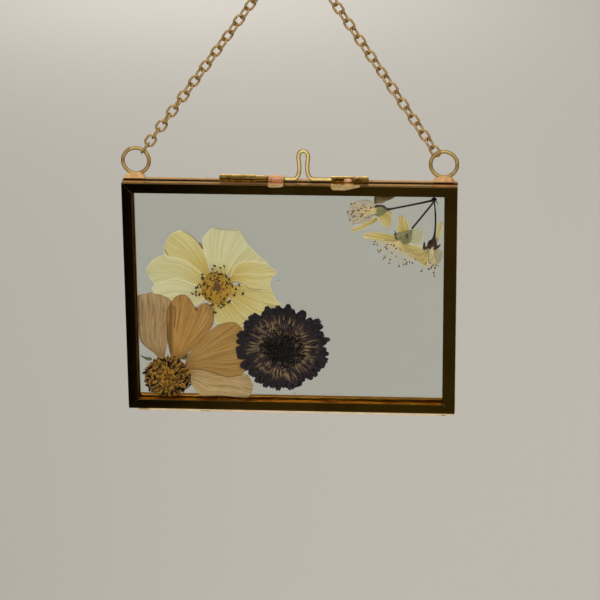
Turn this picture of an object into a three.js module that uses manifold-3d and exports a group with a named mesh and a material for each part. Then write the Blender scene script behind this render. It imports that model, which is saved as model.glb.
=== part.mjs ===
// Pressed flower frame: dried flowers between two glass panes in a hinged brass frame, hung on a chain.
// Millimetres, +X right, +Y towards the wall, +Z up. The origin is the point the chain hangs from.
import * as THREE from 'three';
import { mergeVertices } from 'three/addons/utils/BufferGeometryUtils.js';
import Module from 'manifold-3d';

const wasm = await Module();
wasm.setup();

// ---- driving dimensions ----
const FRAME_W = 183;
const FRAME_H = 132;
const FRONT_DEPTH = 5.4; // front half, measured back from the front face
const HALF_GAP = 1.4; // between the closed halves, where the flowers lie
const BACK_DEPTH = 5.2;
const FACE = { left: 5.6, right: 7.1, top: 5.7, bottom: 5 }; // widths of the four rails
const SHEET = 0.7; // brass sheet
const MITRE_GAP = 0.15;

const PANE_W = 178; // a 7 by 5 inch pane
const PANE_H = 127;
const PANE_T = 2;
const PANE_ARRIS = 0.25;
const FIT = 0.3; // clearance between pieces that touch

const RING_R = 7.2; // to the middle of the ring's wire
const RING_WIRE = 0.9;
const RING_LEFT_X = -84.2;
const RING_RIGHT_X = 83.8;
const RING_Z = 76.1;
const SEAT_W = 10.5; // soldered seat under each ring, at its foot
const SEAT_TOP = 0.62; // its width at the top as a share of that
const SEAT_H = 2.6;
const SEAT_T = 2.6;

const APEX = { x: 4.06, z: 196.6 }; // where the two straight runs of chain would meet
const CHAIN_R = 3.05; // half the width of a link
const CHAIN_BEND = 5;

const WIRE_R = 0.9; // spring wire of the clasp
const CLASP_X = 7.65;
const CLASP_Z = 67.75;
const CLASP_TOP = 83.9;
const CLASP_ENTRY = 1.7; // how far its ends reach into the back knuckles
const BORE_R = 1.2;
const LEAF_T = 0.6; // sheet of the knuckles' leaves
const LEAF_SETBACK = 0.8; // of the back leaves from the frame's back
const LEFT_KNUCKLES = { outer: -38.1, step: -18.2, split: -11.4, inner: -2.9 };
const RIGHT_KNUCKLES = { inner: 22.95, split: 35.7, outer: 43.1 };
const SLEEVE_R = 2.15; // the thicker outer part of the left back knuckle
const BACK_LEFT_R = 1.75;
const FRONT_LEFT_R = 1.9;
const RIGHT_R = 1.85;

const HINGE_Z = -67.6;
const HINGE_KNUCKLE_R = 1.4;
const HINGE_PIN_R = 0.6;
const HINGE_LEAF_T = 1.25;
const HINGE_EDGE = 0.2; // of the leaves from the frame's front and back
const HINGE_WEB = { below: 0.1, above: 0.9 }; // web that joins a knuckle to its leaf, about the pin
const HINGE_LEFT = [-86, -46];
const HINGE_RIGHT = [46.2, 86.4];

const PETAL_T = 0.12;
const FILM = 0.06; // air between two layers
const LAYER = PETAL_T + FILM;
const THICK = 0.35; // flower heads pressed in front of the petals
const CENTRE_T = 1.2;
const CALYX_T = 0.45;
const STALK_R = 0.55;

// ---- worked out from them ----
const BACK_FRONT = FRONT_DEPTH + HALF_GAP; // front of the back half
const DEPTH = BACK_FRONT + BACK_DEPTH;
const PIVOT_Y = FRONT_DEPTH + HALF_GAP / 2;
const CHAIN_Y = BACK_FRONT + BACK_DEPTH / 2;
const FIRST_LAYER = FRONT_DEPTH + FILM;
const layerY = (n) => FIRST_LAYER + THICK + FILM + n * LAYER; // petals lie behind the flower heads

const BRASS = { color: 0xc79a45, roughness: 0.25, metalness: 1 };
const GLASS = { color: 0xdfe6dd, roughness: 0.05, metalness: 0 };
const CREAM = { color: 0xd8cd8e, roughness: 0.8, metalness: 0 };
const TAN = { color: 0xa98252, roughness: 0.8, metalness: 0 };
const OCHRE = { color: 0x8a6420, roughness: 0.9, metalness: 0 };
const PLUM = { color: 0x1d1522, roughness: 0.9, metalness: 0 };
const SAGE = { color: 0x8d9275, roughness: 0.9, metalness: 0 };
const STALK = { color: 0x1a130f, roughness: 0.9, metalness: 0 };

// Everything but the chain is drawn about the middle of the frame's front face.
const frameGroup = new THREE.Group();
const root = new THREE.Group();
root.add(frameGroup);

function add(name, geometry, look) {
  const mesh = new THREE.Mesh(geometry, new THREE.MeshStandardMaterial(look));
  mesh.name = name;
  frameGroup.add(mesh);
  return mesh;
}

// ---- booleans ----
function solid(geometry) {
  const bare = geometry.clone();
  bare.deleteAttribute('normal');
  bare.deleteAttribute('uv');
  const merged = mergeVertices(bare, 1e-4);
  return new wasm.Manifold(new wasm.Mesh({
    numProp: 3,
    vertProperties: new Float32Array(merged.attributes.position.array),
    triVerts: new Uint32Array(merged.index.array),
  }));
}

function geometryOf(manifold) {
  const mesh = manifold.getMesh();
  const geometry = new THREE.BufferGeometry();
  geometry.setAttribute('position', new THREE.BufferAttribute(new Float32Array(mesh.vertProperties), 3));
  geometry.setIndex(new THREE.BufferAttribute(new Uint32Array(mesh.triVerts), 1));
  return geometry;
}

const joined = (pieces) => geometryOf(pieces.map(solid).reduce((a, b) => a.add(b)));

// ---- shapes ----
function box(x0, x1, y0, y1, z0, z1) {
  const geometry = new THREE.BoxGeometry(x1 - x0, y1 - y0, z1 - z0);
  return geometry.translate((x0 + x1) / 2, (y0 + y1) / 2, (z0 + z1) / 2);
}

// A flat shape drawn in X and Z, from y0 back by its thickness.
function plate(shape, y0, thickness) {
  const geometry = new THREE.ExtrudeGeometry(shape, { depth: thickness, bevelEnabled: false });
  return geometry.rotateX(Math.PI / 2).translate(0, y0 + thickness, 0);
}

// A rod along X.
function rod(x0, x1, radius, y, z, sides) {
  const profile = [[0, x0], [radius, x0], [radius, x1], [0, x1]];
  const points = profile.map(([r, along]) => new THREE.Vector2(r, along));
  return new THREE.LatheGeometry(points, sides).rotateZ(-Math.PI / 2).translate(0, y, z);
}

function wireAlong(curve, radius, sides, steps) {
  const section = new THREE.Shape();
  for (let i = 0; i < sides; i += 1) {
    const a = (i * 2 * Math.PI) / sides;
    if (i === 0) section.moveTo(radius, 0);
    else section.lineTo(radius * Math.cos(a), radius * Math.sin(a));
  }
  section.closePath();
  return new THREE.ExtrudeGeometry(section, { steps, extrudePath: curve, bevelEnabled: false });
}

// ---- rails: folded sheet with an outer wall, a face and an inner wall, cut to a mitre at each end ----
// The rail runs along a side of the frame; across is measured from the outer edge inwards.
function rail(side, back) {
  const width = FACE[side];
  const depth = back ? BACK_DEPTH : FRONT_DEPTH;
  const wall = depth - PANE_T - FIT; // the inner wall stops short of the pane
  const section = new THREE.Shape([
    new THREE.Vector2(0, 0),
    new THREE.Vector2(width, 0),
    new THREE.Vector2(width, wall),
    new THREE.Vector2(width - SHEET, wall),
    new THREE.Vector2(width - SHEET, SHEET),
    new THREE.Vector2(SHEET, SHEET),
    new THREE.Vector2(SHEET, depth),
    new THREE.Vector2(0, depth),
  ]);
  const upright = side === 'left' || side === 'right';
  const length = upright ? FRAME_H : FRAME_W;
  const ends = upright ? ['bottom', 'top'] : ['left', 'right'];
  const geometry = new THREE.ExtrudeGeometry(section, { depth: length, bevelEnabled: false });
  const position = geometry.attributes.position;
  for (let i = 0; i < position.count; i += 1) {
    const across = position.getX(i);
    const deep = position.getY(i);
    const atEnd = position.getZ(i) > length / 2;
    const slope = FACE[atEnd ? ends[1] : ends[0]] / width;
    const inset = across * slope + MITRE_GAP / 2;
    const along = (atEnd ? length / 2 - inset : inset - length / 2);
    const y = back ? DEPTH - deep : deep;
    if (side === 'left') position.setXYZ(i, across - FRAME_W / 2, y, along);
    if (side === 'right') position.setXYZ(i, FRAME_W / 2 - across, y, along);
    if (side === 'top') position.setXYZ(i, along, y, FRAME_H / 2 - across);
    if (side === 'bottom') position.setXYZ(i, along, y, across - FRAME_H / 2);
  }
  // the placings above that mirror the section have their faces turned out again
  const mirrored = (side === 'right' || side === 'bottom') !== back;
  return turnedOut(geometry, mirrored);
}

function turnedOut(geometry, reverse) {
  geometry.deleteAttribute('normal');
  geometry.deleteAttribute('uv');
  const merged = mergeVertices(geometry, 1e-4);
  if (reverse) merged.index.array.reverse();
  return merged;
}

function pane(y0) {
  const w = PANE_W / 2 - PANE_ARRIS;
  const h = PANE_H / 2 - PANE_ARRIS;
  const corners = [[-w, -h], [w, -h], [w, h], [-w, h]];
  const shape = new THREE.Shape(corners.map(([x, z]) => new THREE.Vector2(x, z)));
  const geometry = new THREE.ExtrudeGeometry(shape, {
    depth: PANE_T - 2 * PANE_ARRIS,
    bevelSize: PANE_ARRIS,
    bevelThickness: PANE_ARRIS,
    bevelSegments: 1,
  });
  return geometry.rotateX(Math.PI / 2).translate(0, y0 + PANE_T - PANE_ARRIS, 0);
}

for (const side of ['top', 'bottom', 'left', 'right']) {
  add(`back_rail_${side}`, rail(side, true), BRASS);
  add(`front_rail_${side}`, rail(side, false), BRASS);
}
add('back_pane', pane(BACK_FRONT), GLASS);
add('front_pane', pane(FRONT_DEPTH - PANE_T), GLASS);

// ---- hanging rings, each in a soldered seat on the back half's top edge ----
function ring(x) {
  const torus = new THREE.TorusGeometry(RING_R, RING_WIRE, 8, 32);
  torus.rotateX(Math.PI / 2).translate(x, CHAIN_Y, RING_Z);
  const half = SEAT_W / 2;
  const base = FRAME_H / 2 + FIT / 2;
  const seat = new THREE.Shape();
  seat.moveTo(x - half, base);
  seat.lineTo(x + half, base);
  seat.lineTo(x + half * SEAT_TOP, base + SEAT_H);
  seat.lineTo(x - half * SEAT_TOP, base + SEAT_H);
  seat.closePath();
  return joined([torus, plate(seat, CHAIN_Y - SEAT_T / 2, SEAT_T)]);
}
add('ring_left', ring(RING_LEFT_X), BRASS);
add('ring_right', ring(RING_RIGHT_X), BRASS);

// ---- clasp knuckles: rolled sheet barrels on a leaf that is soldered to the half's top edge ----
const leafZ = FRAME_H / 2 + FIT / 2;
const leafTop = leafZ + LEAF_T;
const LIP_Y = -FIT - LEAF_T; // front of the lips that lap down over the front face

// A barrel dressed flat underneath, where it sits on the rail.
function flatBarrel(x0, x1, radius) {
  const under = box(x0 - 1, x1 + 1, PIVOT_Y - radius - 1, PIVOT_Y + radius + 1, leafZ - radius, leafZ);
  return solid(rod(x0, x1, radius, PIVOT_Y, CLASP_Z, 24)).subtract(solid(under));
}

const claspBore = (x0, x1) => solid(rod(x0 - 1, x1 + 1, BORE_R, PIVOT_Y, CLASP_Z, 24));

function backKnuckle(x0, x1, radius) {
  const leaf = box(x0, x1, PIVOT_Y, DEPTH - LEAF_SETBACK, leafZ, leafTop);
  return flatBarrel(x0, x1, radius).add(solid(leaf)).subtract(claspBore(x0, x1));
}

// The front leaf laps over the edge and a little way down the face.
function frontKnuckle(x0, x1, radius, lip) {
  const leaf = box(x0, x1, LIP_Y, PIVOT_Y, leafZ, leafTop);
  const shape = new THREE.Shape(lip.map(([x, z]) => new THREE.Vector2(x, z)));
  const lap = plate(shape, LIP_Y, LEAF_T);
  const whole = flatBarrel(x0, x1, radius).add(solid(leaf)).add(solid(lap));
  return geometryOf(whole.subtract(claspBore(x0, x1)));
}

function claspKnuckles() {
  const { outer, step, split, inner } = LEFT_KNUCKLES;
  const backEnd = split - FIT / 2;
  const frontEnd = split + FIT / 2;
  const sleeve = backKnuckle(outer, step, SLEEVE_R);
  add('back_knuckle_left', geometryOf(sleeve.add(backKnuckle(step, backEnd, BACK_LEFT_R))), BRASS);
  add('front_knuckle_left', frontKnuckle(frontEnd, inner, FRONT_LEFT_R, [
    [frontEnd, leafTop], [inner, leafTop], [inner, 65.6], [-4.6, 65.1], [-9.4, 64.9], [-11.2, 65.4],
  ]), BRASS);

  const right = RIGHT_KNUCKLES;
  const backStart = right.split + FIT / 2;
  const frontStop = right.split - FIT / 2;
  const shelfFront = PIVOT_Y + RIGHT_R + FIT;
  const shelf = box(right.inner, right.outer, shelfFront, DEPTH - LEAF_SETBACK, leafZ, leafTop);
  const shelved = backKnuckle(backStart, right.outer, RIGHT_R).add(solid(shelf));
  add('back_knuckle_right', geometryOf(shelved), BRASS);
  add('front_knuckle_right', frontKnuckle(right.inner, frontStop, RIGHT_R, [
    [right.inner, leafTop], [38.9, leafTop], [38.9, 66], [37.4, 65.4], [30.8, 63.9], [24.2, 63.9],
    [right.inner, 64.9],
  ]), BRASS);
}
claspKnuckles();

// ---- clasp: one length of spring wire, a hairpin loop with an arm out to each side ----
function claspCurve() {
  const loop = [
    [-5.6, 0], [-4.4, 0.05], [-2.9, 1.3], [-1.75, 3.5], [-1.7, 5.4], [-2.35, 8.6], [-2.75, 12],
    [-2.2, 14.9], [0, CLASP_TOP - CLASP_Z], [2.2, 14.9], [2.75, 12], [2.35, 8.6], [1.7, 5.4], [1.75, 3.5],
    [2.9, 1.3], [4.4, 0.05], [5.6, 0],
  ].map(([x, z]) => new THREE.Vector3(CLASP_X + x, PIVOT_Y, CLASP_Z + z));
  const path = new THREE.CurvePath();
  const leftEnd = new THREE.Vector3(LEFT_KNUCKLES.split - CLASP_ENTRY, PIVOT_Y, CLASP_Z);
  const rightEnd = new THREE.Vector3(RIGHT_KNUCKLES.split + CLASP_ENTRY, PIVOT_Y, CLASP_Z);
  path.add(new THREE.LineCurve3(leftEnd, loop[0]));
  path.add(new THREE.CatmullRomCurve3(loop, false, 'centripetal'));
  path.add(new THREE.LineCurve3(loop[loop.length - 1], rightEnd));
  return path;
}
add('clasp_wire', wireAlong(claspCurve(), WIRE_R, 8, 64), BRASS);

// ---- bottom hinges: five knuckles on a pin, three on the back leaf and two on the front leaf ----
function hingeLeaf([x0, x1], back) {
  const pitch = (x1 - x0) / 5;
  const mine = back ? [0, 2, 4] : [1, 3];
  const top = -FRAME_H / 2 - FIT / 2;
  const y0 = back ? PIVOT_Y + HINGE_KNUCKLE_R + FIT : HINGE_EDGE;
  const y1 = back ? DEPTH - HINGE_EDGE : PIVOT_Y - HINGE_KNUCKLE_R - FIT;
  const pieces = [box(x0, x1, y0, y1, top - HINGE_LEAF_T, top)];
  for (const k of mine) {
    const a = x0 + k * pitch + FIT / 2;
    const b = x0 + (k + 1) * pitch - FIT / 2;
    pieces.push(rod(a, b, HINGE_KNUCKLE_R, PIVOT_Y, HINGE_Z, 14));
    const inLeaf = back ? y0 + HINGE_EDGE : y1 - HINGE_EDGE;
    const web = [Math.min(inLeaf, PIVOT_Y), Math.max(inLeaf, PIVOT_Y)];
    pieces.push(box(a, b, web[0], web[1], HINGE_Z - HINGE_WEB.below, HINGE_Z + HINGE_WEB.above));
  }
  const bore = rod(x0 - 1, x1 + 1, HINGE_PIN_R + FIT / 2, PIVOT_Y, HINGE_Z, 14);
  return geometryOf(pieces.map(solid).reduce((a, b) => a.add(b)).subtract(solid(bore)));
}
for (const [name, span] of [['left', HINGE_LEFT], ['right', HINGE_RIGHT]]) {
  add(`back_hinge_leaf_${name}`, hingeLeaf(span, true), BRASS);
  add(`front_hinge_leaf_${name}`, hingeLeaf(span, false), BRASS);
  add(`hinge_pin_${name}`, rod(span[0], span[1], HINGE_PIN_R, PIVOT_Y, HINGE_Z, 12), BRASS);
}

// ---- chain: a plain tube that holds the links, ring to ring over the hanging point ----
function chainCurve() {
  const corner = new THREE.Vector3(APEX.x, CHAIN_Y, APEX.z);
  const left = new THREE.Vector3(RING_LEFT_X, CHAIN_Y, RING_Z);
  const right = new THREE.Vector3(RING_RIGHT_X, CHAIN_Y, RING_Z);
  const down = (end) => end.clone().sub(corner).normalize();
  const toLeft = down(left);
  const toRight = down(right);
  const half = toLeft.angleTo(toRight) / 2;
  const setback = CHAIN_BEND / Math.tan(half);
  const clear = RING_R + RING_WIRE + FIT;
  const start = left.clone().addScaledVector(toLeft, -clear);
  const end = right.clone().addScaledVector(toRight, -clear);
  const bendA = corner.clone().addScaledVector(toLeft, setback);
  const bendB = corner.clone().addScaledVector(toRight, setback);
  const path = new THREE.CurvePath();
  path.add(new THREE.LineCurve3(start, bendA));
  path.add(new THREE.QuadraticBezierCurve3(bendA, corner, bendB));
  path.add(new THREE.LineCurve3(bendB, end));
  return { path, top: new THREE.QuadraticBezierCurve3(bendA, corner, bendB).getPoint(0.5) };
}
const chain = chainCurve();
add('chain', wireAlong(chain.path, CHAIN_R, 8, 24), BRASS);

// ---- flowers ----
// A petal is drawn up its left edge, across its tip and down its right edge, about the flower's middle.
const CREAM_AT = [-40.7, 4.1];
const COSMOS_AT = [-69.6, -49.2];
const DARK_AT = [-5.7, -30.8];
const SPRIG_AT = [78.7, 56.7];

function outline([cx, cz], points, smooth = 3) {
  const closed = points.map(([x, z]) => new THREE.Vector3(cx + x, cz + z, 0));
  const curve = new THREE.CatmullRomCurve3(closed, true, 'centripetal');
  const shape = curve.getPoints(points.length * smooth).slice(0, -1);
  return new THREE.Shape(shape.map((p) => new THREE.Vector2(p.x, p.y)));
}

function petal(name, at, layer, left, tip, right, look) {
  const edge = [...left, ...tip, ...right.slice().reverse()];
  add(name, plate(outline(at, edge), layerY(layer), PETAL_T), look);
}

// cream flower: eight broad petals round a ring of stamens
petal('cream_petal_top', CREAM_AT, 1,
  [[-1.5, 9], [-5, 16], [-7, 24], [-7.4, 28.5]],
  [[-5.5, 32], [-1, 35.4], [8.5, 34.2], [14, 34.5]],
  [[5.5, 8.5], [10, 16.5], [13.5, 20.5], [18.5, 24]], CREAM);
petal('cream_petal_upper_left', CREAM_AT, 2,
  [[-6.5, 6], [-12.5, 12], [-18.5, 16], [-27, 17.6]],
  [[-29, 22.5], [-25.5, 30.5], [-18.5, 33], [-10.5, 28.5]],
  [[-3.5, 10.5], [-5.2, 16], [-6.8, 23.5]], CREAM);
petal('cream_petal_right', CREAM_AT, 2,
  [[7.2, 6.6], [10, 13], [15, 16], [21, 16.5]],
  [[26, 15.5], [33, 10], [30, 6.5], [29, 2.5]],
  [[7.5, 3.5], [13.5, 3.5], [17.5, 0], [25.5, -0.2]], CREAM);
petal('cream_petal_upper_right', CREAM_AT, 3,
  [[5.5, 8.5], [8, 14], [13, 21]],
  [[18, 24.8], [22.5, 20.2], [29, 14]],
  [[8.2, 6.8], [14, 10.5], [21, 12]], CREAM);
petal('cream_petal_left', CREAM_AT, 3,
  [[-6.5, -1], [-13, 1.5], [-18.5, 3.7], [-26, 5.5], [-35, 1.5]],
  [[-37.5, 6], [-39, 10], [-36.5, 14], [-34, 17]],
  [[-6.2, 5], [-12.5, 13.5], [-21.5, 17.5], [-29.5, 18.6]], CREAM);
petal('cream_petal_lower_right', CREAM_AT, 3,
  [[7, 1.5], [17.5, 3], [28.8, 4]],
  [[31, -1.5], [35.5, -9.5], [37, -16.5], [31, -20]],
  [[5.5, -4.5], [12.5, -14], [20.5, -19]], CREAM);
petal('cream_petal_lower_left', CREAM_AT, 4,
  [[-5.2, -5.2], [-13, -11.5], [-21, -14.5]],
  [[-29, -12], [-34.5, -5.5], [-36, 0]],
  [[-7, 0], [-14, 2.5], [-22, 6.8], [-30, 4.2]], CREAM);
petal('cream_petal_bottom', CREAM_AT, 4,
  [[-2.5, -6.5], [-4.5, -14], [-1.5, -20.5]],
  [[6, -23.5], [13.5, -25.5], [21.5, -26.5], [25.5, -22.5]],
  [[4.5, -6], [12, -11], [20.5, -16]], CREAM);

function disc(name, at, radii, y0, thickness, look, hole = 0) {
  const points = radii.map((r, i) => {
    const a = (i * 2 * Math.PI) / radii.length;
    return [r * Math.cos(a), r * Math.sin(a)];
  });
  const shape = outline(at, points, 2);
  if (hole) {
    const ringHole = new THREE.Path();
    ringHole.absarc(at[0], at[1], hole, 0, 2 * Math.PI, true);
    shape.holes.push(ringHole);
  }
  const flat = { depth: thickness, bevelEnabled: false, curveSegments: 20 };
  const geometry = new THREE.ExtrudeGeometry(shape, flat);
  add(name, geometry.rotateX(Math.PI / 2).translate(0, y0 + thickness, 0), look);
}
disc('cream_stamens', CREAM_AT, [
  15.3, 13, 12, 13.6, 13.8, 12, 13, 14.6, 15.4, 14.5, 13.5, 14.6, 13.6, 13.2,
], FIRST_LAYER, THICK, OCHRE, 5.2);
disc('cream_centre', CREAM_AT, [4.8, 4.9, 4.8, 4.9, 4.8, 4.9, 4.8, 4.9], FIRST_LAYER, CENTRE_T, OCHRE);

// brown flower: four ribbed petals left round a broad disc of florets
petal('brown_petal_second', COSMOS_AT, 0,
  [[3, 12], [0.4, 19], [0, 33], [0.8, 42]],
  [[3, 46.5], [6.5, 48.7], [11.5, 49.5], [15, 44.5], [17.4, 42], [20.5, 43.6], [23.3, 44.5], [26.3, 41]],
  [[9.5, 11.5], [14.5, 16.5], [21, 24], [26.6, 32]], TAN);
petal('brown_petal_first', COSMOS_AT, 1,
  [[-7.5, 11.5], [-14.5, 20], [-15.3, 33]],
  [[-15.5, 49.5], [-9.2, 50.4], [-3.5, 48.6], [0.8, 48.2], [3.2, 46.4]],
  [[-1.2, 12.5], [1, 18], [4.4, 28], [5.4, 37]], TAN);
petal('brown_petal_third', COSMOS_AT, 1,
  [[10.2, 8.5], [13, 15.5], [21, 25], [26.5, 31]],
  [[32.5, 33.4], [39, 32.4], [46, 23.5], [48.5, 14]],
  [[11.8, 2.8], [23, 1], [32, -0.4], [41.5, 2.4]], TAN);
petal('brown_petal_fourth', COSMOS_AT, 2,
  [[11.5, 3.4], [22, 5.2], [34, 5.6], [44, 3]],
  [[47.5, -3], [47.3, -8.5], [44, -12]],
  [[8.5, -3.5], [13, -7], [18, -11], [31, -10.6]], TAN);
disc('brown_flower_disc', COSMOS_AT, [13.3, 12.2, 12.9, 12, 12.8, 11.8, 12.6, 13.4, 12.6, 12.2, 13, 12.1],
  FIRST_LAYER, THICK, OCHRE);
add('brown_sepal_left', plate(outline(COSMOS_AT, [
  [-14.8, 12.6], [-11.5, 9.4], [-9.5, 9.3], [-8.4, 10.6], [-10, 11.3], [-12.3, 11.4],
]), layerY(2), PETAL_T), SAGE);
add('brown_sepal_right', plate(outline(COSMOS_AT, [
  [7.4, 11.4], [8.8, 12.4], [12, 15.4], [11.6, 12.8], [10.4, 10.2], [8.6, 10.2],
]), layerY(3), PETAL_T), SAGE);

// dark flower: many narrow florets round a near-black centre
disc('dark_rays', DARK_AT, [
  26.8, 27.8, 26.4, 28.2, 25.6, 26, 26.6, 25.4, 25.8, 25.2, 26.8, 25.2, 25.8, 25.4, 27.2,
  26.2, 27, 25.2, 25.2, 26, 24.8, 25.8, 25.8, 24.6, 24.8, 26.4, 26.4, 27.6,
], FIRST_LAYER, THICK, PLUM, 11.6);
disc('dark_centre', DARK_AT, [11.2, 11.3, 11.2, 11.3, 11.2, 11.3, 11.2, 11.3, 11.2, 11.3],
  FIRST_LAYER, THICK, PLUM);

// blossom sprig: three flowers on stalks from one joint, in the upper right corner
function stalk(name, points, radius) {
  const at = points.map(([x, z]) => new THREE.Vector3(SPRIG_AT[0] + x, PIVOT_Y, SPRIG_AT[1] + z));
  add(name, wireAlong(new THREE.CatmullRomCurve3(at), radius, 8, 10), STALK);
}
stalk('stalk_upper', [[-1.4, -0.1], [-12, -2.6], [-24.1, -5.3]], STALK_R);
stalk('stalk_middle', [[-1.3, -1.6], [-6, -8.5], [-11.2, -15.4]], STALK_R);
stalk('stalk_lower', [[0.2, 1.1], [0, -1.5], [1, -8.5], [1, -19.4]], STALK_R);

const sprigPlate = (name, points, y0, thick, look) =>
  add(name, plate(outline(SPRIG_AT, points, 2), y0, thick), look);
const CALYX_Y = layerY(0);
sprigPlate('calyx_upper', [[-25.1, -5.2], [-26.8, -3.6], [-29.5, -2.6], [-32.1, -3.2], [-32.4, -6],
  [-32.4, -9.2], [-30.2, -11], [-27, -9.2]], CALYX_Y, CALYX_T, SAGE);
sprigPlate('calyx_middle', [[-12.4, -16.6], [-18.8, -18.4], [-21, -22], [-18.8, -24.4], [-16.4, -25.6],
  [-13, -23.4]], CALYX_Y, CALYX_T, SAGE);
sprigPlate('calyx_lower', [[0.2, -20.3], [2, -20.3], [2.4, -25.6], [3.8, -24.8], [2, -28.2], [-2.2, -28.4],
  [-4, -26.8], [-5.6, -28.6], [-5.2, -24.2], [-3.2, -24.2], [-1, -22]], CALYX_Y, CALYX_T, STALK);

const PETALS_Y = CALYX_Y + CALYX_T + FILM;
sprigPlate('blossom_petals_upper', [[-22, 1.4], [-32.4, 2], [-40, -0.8], [-38.5, -10], [-45.8, -17.6],
  [-42.4, -18.7], [-33, -13.4], [-27.6, -15.5], [-22.8, -14.8], [-23.2, -7.2], [-25.6, -7], [-28, -3]],
  PETALS_Y, PETAL_T, CREAM);
sprigPlate('blossom_petals_middle', [[-6, -16.8], [-8.8, -15.6], [-10.8, -17.6], [-13.2, -16.8],
  [-14.6, -12.4], [-17, -8.8], [-19.8, -9.4], [-20.5, -18], [-31.5, -18.8], [-38.2, -21.5], [-31.5, -24.4],
  [-20.6, -26], [-18, -31.2], [-13.4, -30.4], [-7.4, -28.2], [-8, -24.4]], PETALS_Y, PETAL_T, CREAM);
sprigPlate('blossom_petals_lower', [[2.2, -12], [4.9, -12.2], [4.8, -16], [3.4, -22], [5.2, -28.6],
  [5.2, -32], [3.5, -35.8], [-4, -38.4], [-13, -32.2], [-6.8, -29.8], [0, -26]], PETALS_Y + LAYER, PETAL_T, CREAM);

sprigPlate('blossom_stamens_upper', [[-32.8, -2.4], [-37, -0.2], [-43.8, -1.2], [-47.9, -7], [-46.4, -11.7],
  [-43.6, -14.8], [-35, -12.4], [-32.8, -10.8]], FIRST_LAYER, THICK, OCHRE);
sprigPlate('blossom_stamens_middle', [[-17.4, -25], [-24.5, -23.4], [-33.4, -23], [-33.6, -27.6],
  [-28, -35.4], [-19.2, -39.4], [-16.4, -31]], FIRST_LAYER, THICK, OCHRE);
sprigPlate('blossom_stamens_lower', [[-1, -29.4], [3.6, -33.6], [3.4, -38.6], [0.6, -45], [-7.4, -41.2],
  [-15.6, -37.6], [-15.2, -34], [-7, -33]], FIRST_LAYER, THICK, OCHRE);

frameGroup.position.set(-chain.top.x, -CHAIN_Y, -chain.top.z);

export default root;
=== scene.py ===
import math
import random
import bpy
from mathutils import Matrix, Vector, kdtree, noise


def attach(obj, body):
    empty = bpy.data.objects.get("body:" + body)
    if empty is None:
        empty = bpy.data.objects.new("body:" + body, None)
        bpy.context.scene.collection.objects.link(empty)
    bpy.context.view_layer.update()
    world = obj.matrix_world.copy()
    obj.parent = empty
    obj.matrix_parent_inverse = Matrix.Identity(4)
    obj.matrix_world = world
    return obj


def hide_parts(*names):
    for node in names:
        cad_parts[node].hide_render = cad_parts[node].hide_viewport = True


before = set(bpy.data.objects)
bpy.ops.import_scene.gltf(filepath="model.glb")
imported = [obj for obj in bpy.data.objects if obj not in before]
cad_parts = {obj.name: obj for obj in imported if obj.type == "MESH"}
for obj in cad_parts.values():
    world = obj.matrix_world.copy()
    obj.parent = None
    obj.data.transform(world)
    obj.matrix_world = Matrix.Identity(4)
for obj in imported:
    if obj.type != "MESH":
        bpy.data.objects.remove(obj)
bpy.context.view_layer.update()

bpy.context.scene.view_settings.view_transform = "Standard"

# ---- camera ----
# A long lens a good arm's length away, a little right of the frame and looking down on it by twenty
# degrees.
lens = bpy.data.cameras.new("camera")
lens.lens = 153.4
lens.sensor_width = 36
camera = bpy.data.objects.new("camera", lens)
bpy.context.scene.collection.objects.link(camera)
camera.location = (0.10064, -1.32600, 0.29477)
camera.rotation_euler = (math.radians(69.694), math.radians(0.512), math.radians(4.111))
bpy.context.scene.camera = camera

# ---- chain ----
# Oval links of round brass wire, each closed by a butt joint and turned a quarter from the last. It runs
# taut from ring to ring over the point it hangs from, and untwists a little on its way up.
MM = 0.001
FRONT = -9.4  # how far the frame's front face stands before the hanging point, in millimetres
PATH_ENDS = [(-83.94, -111.75), (-4.17, -2.85), (0.07, 2.94), (4.03, -3.05), (75.84, -111.56)]
LINKS, END_GAP = 53, 1.73
LINK_WIDTH, LINK_LENGTH, LINK_WIRE = 6.1, 7.8, 1.27


def put(tree, kind, inputs=None, **settings):
    """A new node, with its settings, and its inputs set or linked by name or number."""
    made = tree.nodes.new(kind)
    for name, value in settings.items():
        setattr(made, name, value)
    for name, value in (inputs or {}).items():
        if isinstance(value, bpy.types.NodeSocket):
            tree.links.new(value, made.inputs[name])
        else:
            made.inputs[name].default_value = value
    return made


def effect(name, inputs, outputs):
    """An empty shader node group with named inputs (name, default) and outputs (name, kind)."""
    tree = bpy.data.node_groups.new(name, "ShaderNodeTree")
    for label, value in inputs:
        kind = "NodeSocketFloat" if isinstance(value, (int, float)) else "NodeSocketColor"
        tree.interface.new_socket(label, in_out="INPUT", socket_type=kind).default_value = value
    for label, kind in outputs:
        tree.interface.new_socket(label, in_out="OUTPUT", socket_type=kind)
    return tree, tree.nodes.new("NodeGroupInput").outputs, tree.nodes.new("NodeGroupOutput")


def finish_of(name, **values):
    """A new material's node tree and its shader, with the shader's plain values set."""
    made = bpy.data.materials.new(name)
    made.use_nodes = True
    tree = made.node_tree
    shader = tree.nodes["Principled BSDF"]
    for label, value in values.items():
        shader.inputs[label.replace("_", " ")].default_value = value
    return made, tree, shader


def blend(tree, share, first, second):
    """The first colour going over to the second."""
    return put(tree, "ShaderNodeMix", {0: share, 6: first, 7: second}, data_type="RGBA").outputs[2]


def sums(tree, operation, *values):
    return put(tree, "ShaderNodeMath", dict(enumerate(values)), operation=operation).outputs[0]


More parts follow.
